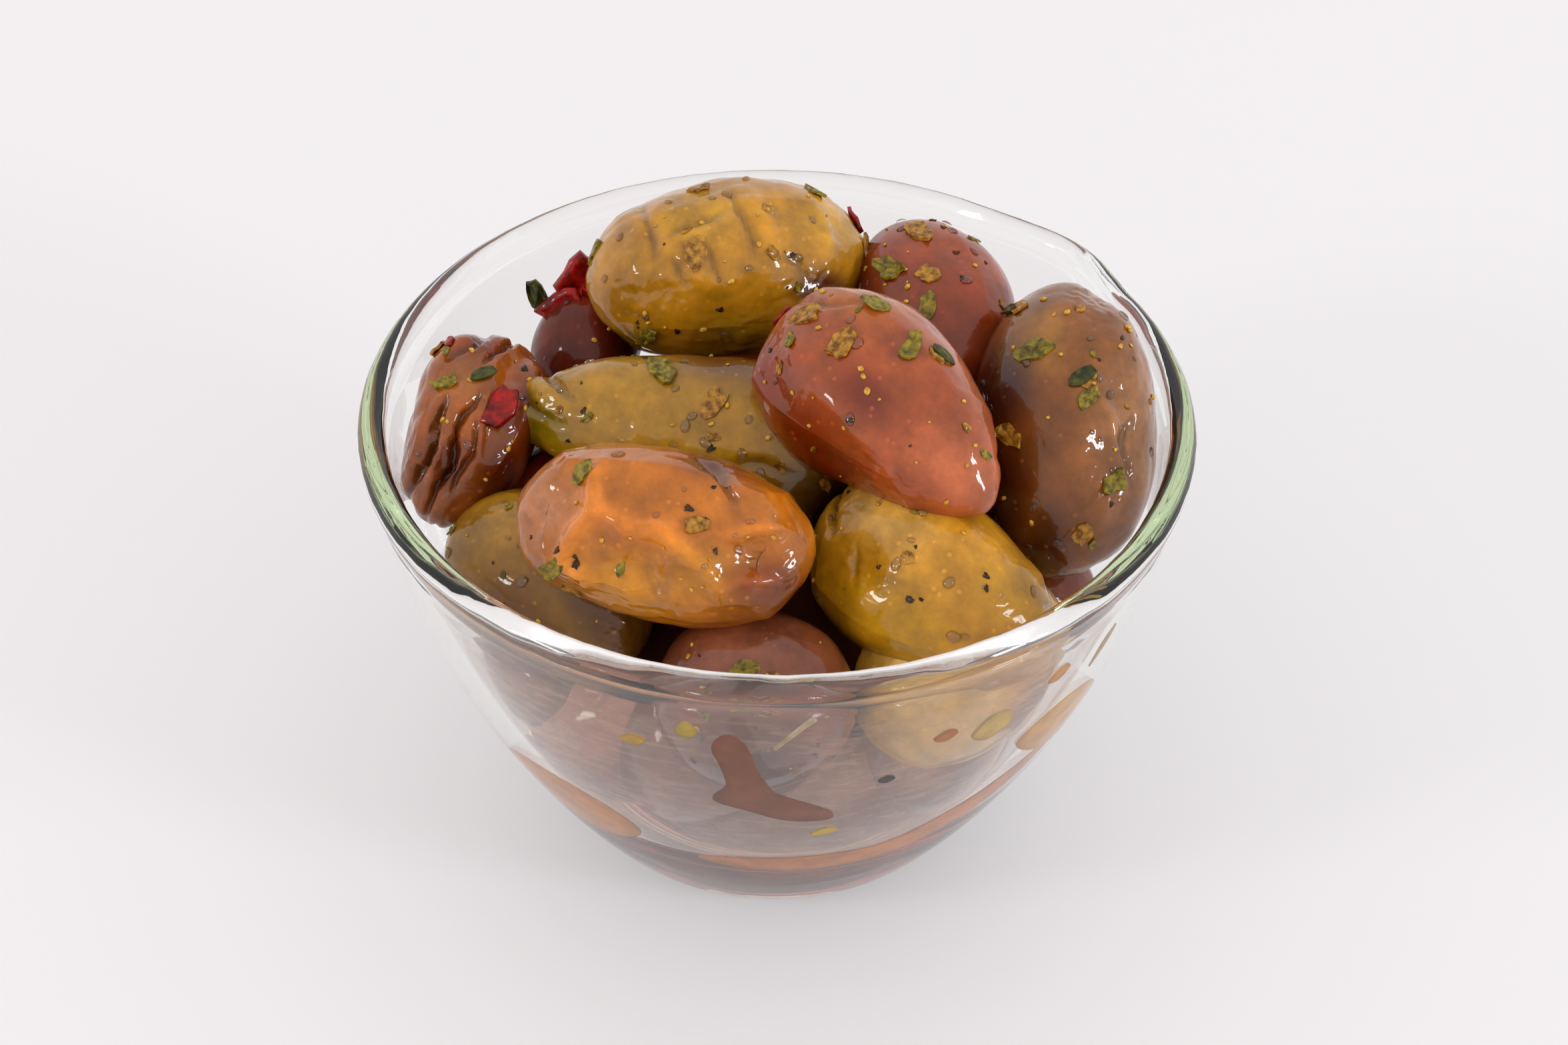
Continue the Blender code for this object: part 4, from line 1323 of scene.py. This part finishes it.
class OLIVEBOWL_OT_herbs(bpy.types.Operator):
    """Scatter herb flakes, seeds, dark specks and chilli over the olives"""

    bl_idname = "olive_bowl.herbs"
    bl_label = "Herbs and Chilli"

    def execute(self, context):
        rng = random.Random(7)
        kinds = {olive.name: olive for olive in OLIVES}
        trees = {olive.name: surface_of(bpy.data.objects[olive.name])
                 for olive in OLIVES[:TOP_OLIVES]}

        def spots(lying, lift):
            """The place and size of each scrap, a little above its olive's skin."""
            found = []
            for scrap in lying:
                point, normal = place_on_olive(trees[scrap.olive], kinds[scrap.olive],
                                               scrap.along, scrap.across)
                found.append((resting_matrix(point, normal, scrap.turn, lift * MM), scrap.size))
            return found

        def strewn(count, low, high, reach=0.92):
            """Places at random over the upper sides, more on the larger olives."""
            names = [olive.name for olive in OLIVES[:TOP_OLIVES - 1]]
            weights = [kinds[name].length * kinds[name].girth for name in names]
            thrown = []
            while len(thrown) < count:
                along, across = rng.uniform(-reach, reach), rng.uniform(-reach, reach)
                if math.hypot(along, across) < reach:
                    thrown.append(Scrap(rng.choices(names, weights)[0], along, across,
                                        rng.uniform(low, high), rng.uniform(0.0, 360.0)))
            return thrown

        def flakes(count, width, thickness, ragged):
            return [flake_form("flake", rng, 1.0 * MM, width * MM, thickness * MM,
                               rng.uniform(-0.2, 0.35), ragged) for _ in range(count)]

        scatter("herb_flakes_brown", flakes(7, 0.66, 0.10, 0.30),
                spots(HERB_FLAKES[0::2], 0.12) + spots(strewn(26, 0.9, 1.9), 0.08),
                dried_leaf("dried_oregano_brown_soaked", "6A3E04", "B88428", 0.7 * MM),
                smooth=False)
        scatter("herb_flakes_green", flakes(7, 0.60, 0.10, 0.32),
                spots(HERB_FLAKES[1::2], 0.12) + spots(strewn(20, 0.8, 1.7), 0.08),
                dried_leaf("dried_oregano_green_soaked", "4C4002", "94801C", 0.7 * MM),
                smooth=False)
        scatter("herb_specks_dark", flakes(5, 0.7, 0.16, 0.4),
                spots(strewn(60, 0.35, 1.1), 0.05),
                dried_leaf("dried_herb_dark_crumb", "140803", "4A2A06", 0.4 * MM),
                smooth=False)
        scatter("seed_crumbs_yellow", [crumb_form("crumb", rng) for _ in range(5)],
                spots(strewn(150, 0.3, 0.85), 0.10),
                dried_leaf("ground_seed_yellow", "B07808", "E0B040", 0.3 * MM))
        scatter("chilli_pieces", flakes(6, 0.62, 0.13, 0.22),
                [(standing_matrix(piece), piece.size) for piece in STANDING_CHILLI]
                + spots(CHILLI_PIECES, 0.25),
                dried_leaf("chilli_skin_dried_soaked", "560100", "A80C02", 1.2 * MM))
        scatter("herb_leaf_dark", flakes(1, 0.5, 0.10, 0.12),
                [(standing_matrix(piece), piece.size) for piece in STANDING_LEAVES]
                + spots(DARK_LEAVES, 0.3),
                dried_leaf("dried_leaf_dark_green", "1E2004", "4A4A10", 1.0 * MM),
                smooth=False)
        beads = [crumb_form("bead", rng, 0.06, 0.42) for _ in range(4)]
        scatter("oil_beads", beads, spots(strewn(110, 0.5, 1.7, 0.97), 0.02),
                marinade("marinade_oil_bead", (0.96, 0.78, 0.36), 120.0))
        return {"FINISHED"}


class OLIVEBOWL_OT_stage(bpy.types.Operator):
    """Set the pale floor, the soft studio light and the camera"""

    bl_idname = "olive_bowl.stage"
    bl_label = "Stage"

    def execute(self, context):
        clear_selection()
        bpy.ops.mesh.primitive_plane_add(size=6.0, location=(0.0, 0.0, -0.05 * MM))
        floor = context.object
        floor.name = "floor"
        material, tree, shader = new_material("white_laminate_satin")
        # The bright surface glows a little, as on a lit table, which keeps its shadows soft.
        set_inputs(shader, {"Base Color": linear("C0BEC0"), "Roughness": 0.5,
                            "Emission Color": (1.0, 0.965, 0.965, 1.0),
                            "Emission Strength": 0.32})
        floor.data.materials.append(material)
        world = bpy.data.worlds.new("white_studio")
        context.scene.world = world
        world.use_nodes = True
        set_inputs(world.node_tree.nodes["Background"],
                   {"Color": (1.0, 0.985, 0.985, 1.0), "Strength": 0.9})
        for lamp in LAMPS:
            turn, rise = math.radians(lamp.azimuth), math.radians(lamp.elevation)
            place = Vector((math.cos(turn) * math.cos(rise), math.sin(turn) * math.cos(rise),
                            math.sin(rise))) * LAMP_DISTANCE + LAMP_AIM
            bpy.ops.object.light_add(type="AREA", location=place)
            light = context.object
            light.name = lamp.name
            light.data.shape = "RECTANGLE"
            light.data.size, light.data.size_y = lamp.wide, lamp.tall
            light.data.energy = lamp.radiance * math.pi * lamp.wide * lamp.tall
            light.data.color = lamp.colour
            light.rotation_mode = "QUATERNION"
            light.rotation_quaternion = (LAMP_AIM - place).to_track_quat("-Z", "Y")
        bpy.ops.object.camera_add()
        camera = context.object
        camera.name = "camera"
        camera.data.sensor_width = 36.0
        camera.data.lens = CAMERA_LENS
        camera.data.clip_start, camera.data.clip_end = 0.01, 20.0
        camera.location = CAMERA_TARGET + CAMERA_DISTANCE * TO_CAMERA
        camera.rotation_mode = "QUATERNION"
        camera.rotation_quaternion = ((-TO_CAMERA).to_track_quat("-Z", "Y")
                                      @ Quaternion((0.0, 0.0, 1.0), CAMERA_ROLL))
        context.scene.camera = camera
        context.scene.view_settings.view_transform = "Standard"
        # Light turns many times inside thick glass before it leaves it.
        cycles = context.scene.cycles
        cycles.max_bounces, cycles.glossy_bounces, cycles.transmission_bounces = 24, 16, 24
        cycles.transparent_max_bounces = 16
        return {"FINISHED"}


class OLIVEBOWL_PT_panel(bpy.types.Panel):
    """The bowl's settings and its pieces, in the order they are made"""

    bl_idname = "OLIVEBOWL_PT_panel"
    bl_label = "Bowl of Olives"
    bl_space_type = "VIEW_3D"
    bl_region_type = "UI"
    bl_category = "Olives"

    def draw(self, context):
        props = context.scene.olive_bowl
        for name in props.bl_rna.properties.keys():
            if name not in ("rna_type", "name"):
                self.layout.prop(props, name)
        for operator in OPERATORS:
            self.layout.operator(operator.bl_idname)


OPERATORS = (
    OLIVEBOWL_OT_glass_bowl,
    OLIVEBOWL_OT_marinade_pool,
    OLIVEBOWL_OT_top_olives,
    OLIVEBOWL_OT_lower_olives,
    OLIVEBOWL_OT_oil_smears,
    OLIVEBOWL_OT_herbs,
    OLIVEBOWL_OT_stage,
)
CLASSES = (OliveBowlSettings, *OPERATORS, OLIVEBOWL_PT_panel)


def register():
    for cls in CLASSES:
        bpy.utils.register_class(cls)
    bpy.types.Scene.olive_bowl = bpy.props.PointerProperty(type=OliveBowlSettings)


def unregister():
    del bpy.types.Scene.olive_bowl
    for cls in reversed(CLASSES):
        bpy.utils.unregister_class(cls)


def main():
    register()
    for operator in OPERATORS:
        group, name = operator.bl_idname.split(".")
        getattr(getattr(bpy.ops, group), name)()
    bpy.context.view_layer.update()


if __name__ == "__main__":
    main()
